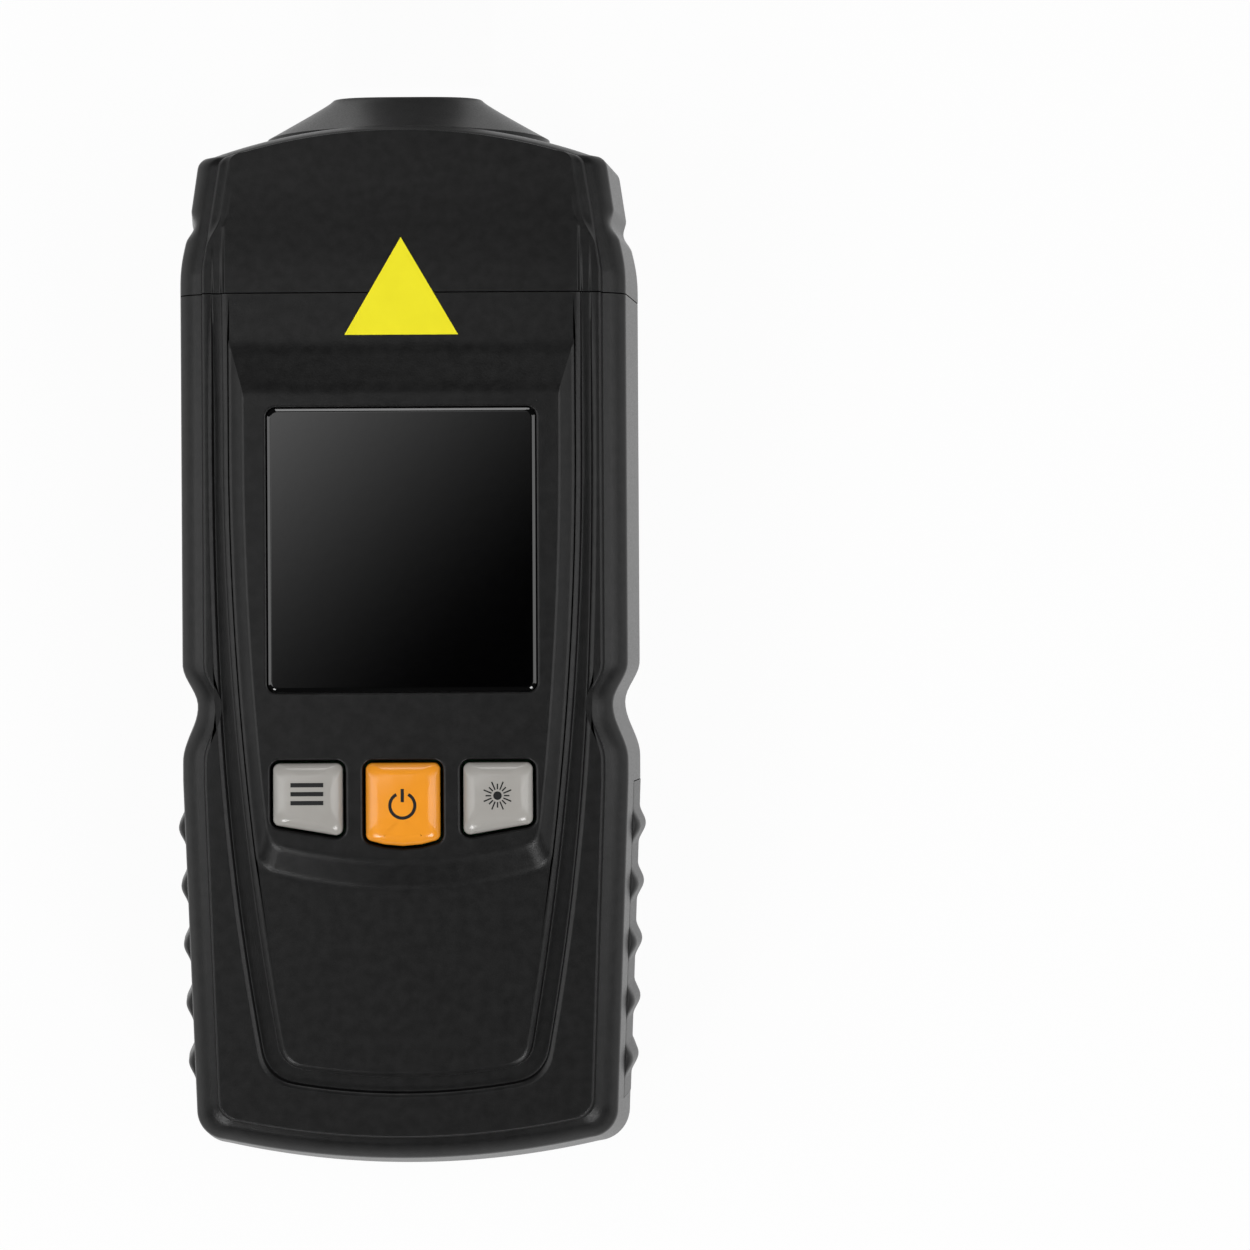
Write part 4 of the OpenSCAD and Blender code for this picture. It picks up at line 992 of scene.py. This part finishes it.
place(make_front_shell(), "case", "case_black", "front_shell")
place(make_rear_shell(), "case", "case_black", "rear_shell")
place(make_head(), "case", "case_black", "head_cap")
place(make_door(), "door", "case_black", "battery_door")
place(make_window(), "case", "window_black", "display_window")
place(make_grip(-1), "case", "grip_rubber", "side_grip_left")
place(make_grip(1), "case", "grip_rubber", "side_grip_right")
for key in KEYS:
    place(make_key(key), key + "_button", "key_orange" if key == "power" else "key_grey", key + "_key")

POWER_AT = (0.0, -20.2)
LASER_AT = (11.15, -19.1)
MARKS = {
    "power": [arc_grid(POWER_AT, 1.28, 1.65, 118, 422), bar_grid((-0.19, -19.8), (0.19, -18.25))],
    "memory": [bar_grid((-13.1, y), (-9.25, y + 0.5)) for y in (-20.1, -19.05, -18.0)],
    "laser": [dot_grid(LASER_AT, 0.5)]
    + [ray_grid(LASER_AT, 0.75, 1.75 if k % 2 else 1.4, 22.5 * k, 0.16) for k in range(16)],
}
for key, grids in MARKS.items():
    place(legend(key + "_mark", key, grids), key + "_button", "dark_plastic")


# Stage, light and camera


def background_rays(nodes, link):
    """Value that is 1 for camera, glossy and transmission rays."""
    path = nodes.new("ShaderNodeLightPath")
    first, second = nodes.new("ShaderNodeMath"), nodes.new("ShaderNodeMath")
    for node in (first, second):
        node.operation = "MAXIMUM"
    link(path.outputs["Is Camera Ray"], first.inputs[0])
    link(path.outputs["Is Glossy Ray"], first.inputs[1])
    link(first.outputs[0], second.inputs[0])
    link(path.outputs["Is Transmission Ray"], second.inputs[1])
    return second.outputs[0]


def floor_paint():
    """Pale matt paint that shows nearly as white to the background rays, and keeps a soft shadow."""
    material, nodes, link = new_material("pale_floor", True)
    matt, glow = nodes.new("ShaderNodeBsdfDiffuse"), nodes.new("ShaderNodeEmission")
    mix = nodes.new("ShaderNodeMixShader")
    matt.inputs["Color"].default_value = (0.85, 0.85, 0.85, 1)
    glow.inputs["Strength"].default_value = 1.0
    share = nodes.new("ShaderNodeMath")
    share.operation = "MULTIPLY"
    share.inputs[1].default_value = 0.95
    link(background_rays(nodes, link), share.inputs[0])
    link(share.outputs[0], mix.inputs["Fac"])
    link(matt.outputs[0], mix.inputs[1])
    link(glow.outputs[0], mix.inputs[2])
    link(mix.outputs[0], nodes.new("ShaderNodeOutputMaterial").inputs["Surface"])
    return material


def make_floor():
    """Round floor whose rim turns up through a quarter circle into a low wall."""
    reach, bend_r, wall_z, n = 3000, 300, 620, 96
    turn = np.arange(n) * 2 * np.pi / n
    bend = np.linspace(0, np.pi / 2, 12)
    rim = zip(reach - bend_r + bend_r * np.sin(bend), bend_r * (1 - np.cos(bend)))
    flat = np.stack([np.cos(turn), np.sin(turn)], axis=1)
    rows = [at_height(flat * r, z - 0.02) for r, z in [*rim, (reach, wall_z)]]
    floor = piece("floor", [skin(rows), lid(rows[0])])
    floor.data.materials.append(floor_paint())


def make_world():
    """Dim even grey all round."""
    world = bpy.data.worlds.new("studio")
    bpy.context.scene.world = world
    world.use_nodes = True
    back = world.node_tree.nodes["Background"]
    back.inputs["Color"].default_value = (1, 1, 1, 1)
    back.inputs["Strength"].default_value = 0.06


def card_glow():
    """Glow that grows as a power of y less x, from nothing on the diagonal to full at the upper left."""
    material, nodes, link = new_material("card_glow", True)
    spot, apart = nodes.new("ShaderNodeTexCoord"), nodes.new("ShaderNodeSeparateXYZ")
    slope, level = nodes.new("ShaderNodeMath"), nodes.new("ShaderNodeMapRange")
    fade, glow = nodes.new("ShaderNodeMath"), nodes.new("ShaderNodeEmission")
    slope.operation = "SUBTRACT"
    fade.operation = "POWER"
    fade.inputs[1].default_value = 2.4
    level.inputs["From Min"].default_value = 0.0
    level.inputs["From Max"].default_value = 0.146
    level.inputs["To Max"].default_value = 1.34
    link(spot.outputs["Object"], apart.inputs[0])
    link(apart.outputs["Y"], slope.inputs[0])
    link(apart.outputs["X"], slope.inputs[1])
    link(slope.outputs[0], level.inputs["Value"])
    link(level.outputs["Result"], fade.inputs[0])
    link(fade.outputs[0], glow.inputs["Strength"])
    link(glow.outputs[0], nodes.new("ShaderNodeOutputMaterial").inputs["Surface"])
    return material


def make_card():
    """Square card above the camera, which the display window mirrors."""
    card = piece("card", [lid(at_height(rectangle(190, 190, -55, 45), 640))])
    card.visible_camera = False
    card.data.materials.append(card_glow())


def make_flag():
    """Dark card on the floor ahead of the nose, which keeps the floor's glare off the nose's middle."""
    flag = piece("flag", [lid(at_height(rectangle(20, 500, 0, 320), 0.5))])
    flag.visible_camera = flag.visible_shadow = False
    material, nodes, _ = new_material("flag_dark")
    nodes["Principled BSDF"].inputs["Base Color"].default_value = (0.12, 0.12, 0.12, 1)
    nodes["Principled BSDF"].inputs["Roughness"].default_value = 0.9
    flag.data.materials.append(material)


def make_light(name, spot, target, size, power):
    """Rectangular lamp at a spot, turned towards a target."""
    lamp = bpy.data.lights.new(name, "AREA")
    lamp.shape = "RECTANGLE"
    lamp.size, lamp.size_y = size[0] * MM, size[1] * MM
    lamp.energy = power
    obj = bpy.data.objects.new(name, lamp)
    bpy.context.scene.collection.objects.link(obj)
    look = Vector([(t - s) * MM for s, t in zip(spot, target)])
    obj.location = [s * MM for s in spot]
    obj.rotation_euler = look.to_track_quat("-Z", "Y").to_euler()


def make_camera():
    """Camera straight above the front face, a little to the right, turned slightly."""
    lens = bpy.data.cameras.new("camera")
    lens.lens = 96.4
    lens.sensor_width = 36
    lens.clip_start = 0.01
    eye = bpy.data.objects.new("camera", lens)
    eye.location = (26.2 * MM, 0.8 * MM, 430 * MM)
    eye.rotation_euler = (0, 0, math.radians(-0.33))
    bpy.context.scene.collection.objects.link(eye)
    bpy.context.scene.camera = eye


make_floor()
make_world()
make_card()
make_flag()
for sign, side in ((-1, "left"), (1, "right")):
    make_light(side + "_box", (400 * sign, 10, 430), (0, 0, 20), (260, 590), 1.3)
for sign, side in ((-1, "left"), (1, "right")):
    make_light("low_" + side, (170 * sign, -260, 300), (0, -20, 36), (90, 90), 0.36)
make_light("top_strip", (40, 430, 270), (0, 20, 36), (260, 110), 0.45)
make_camera()
bpy.context.scene.view_settings.view_transform = "Standard"
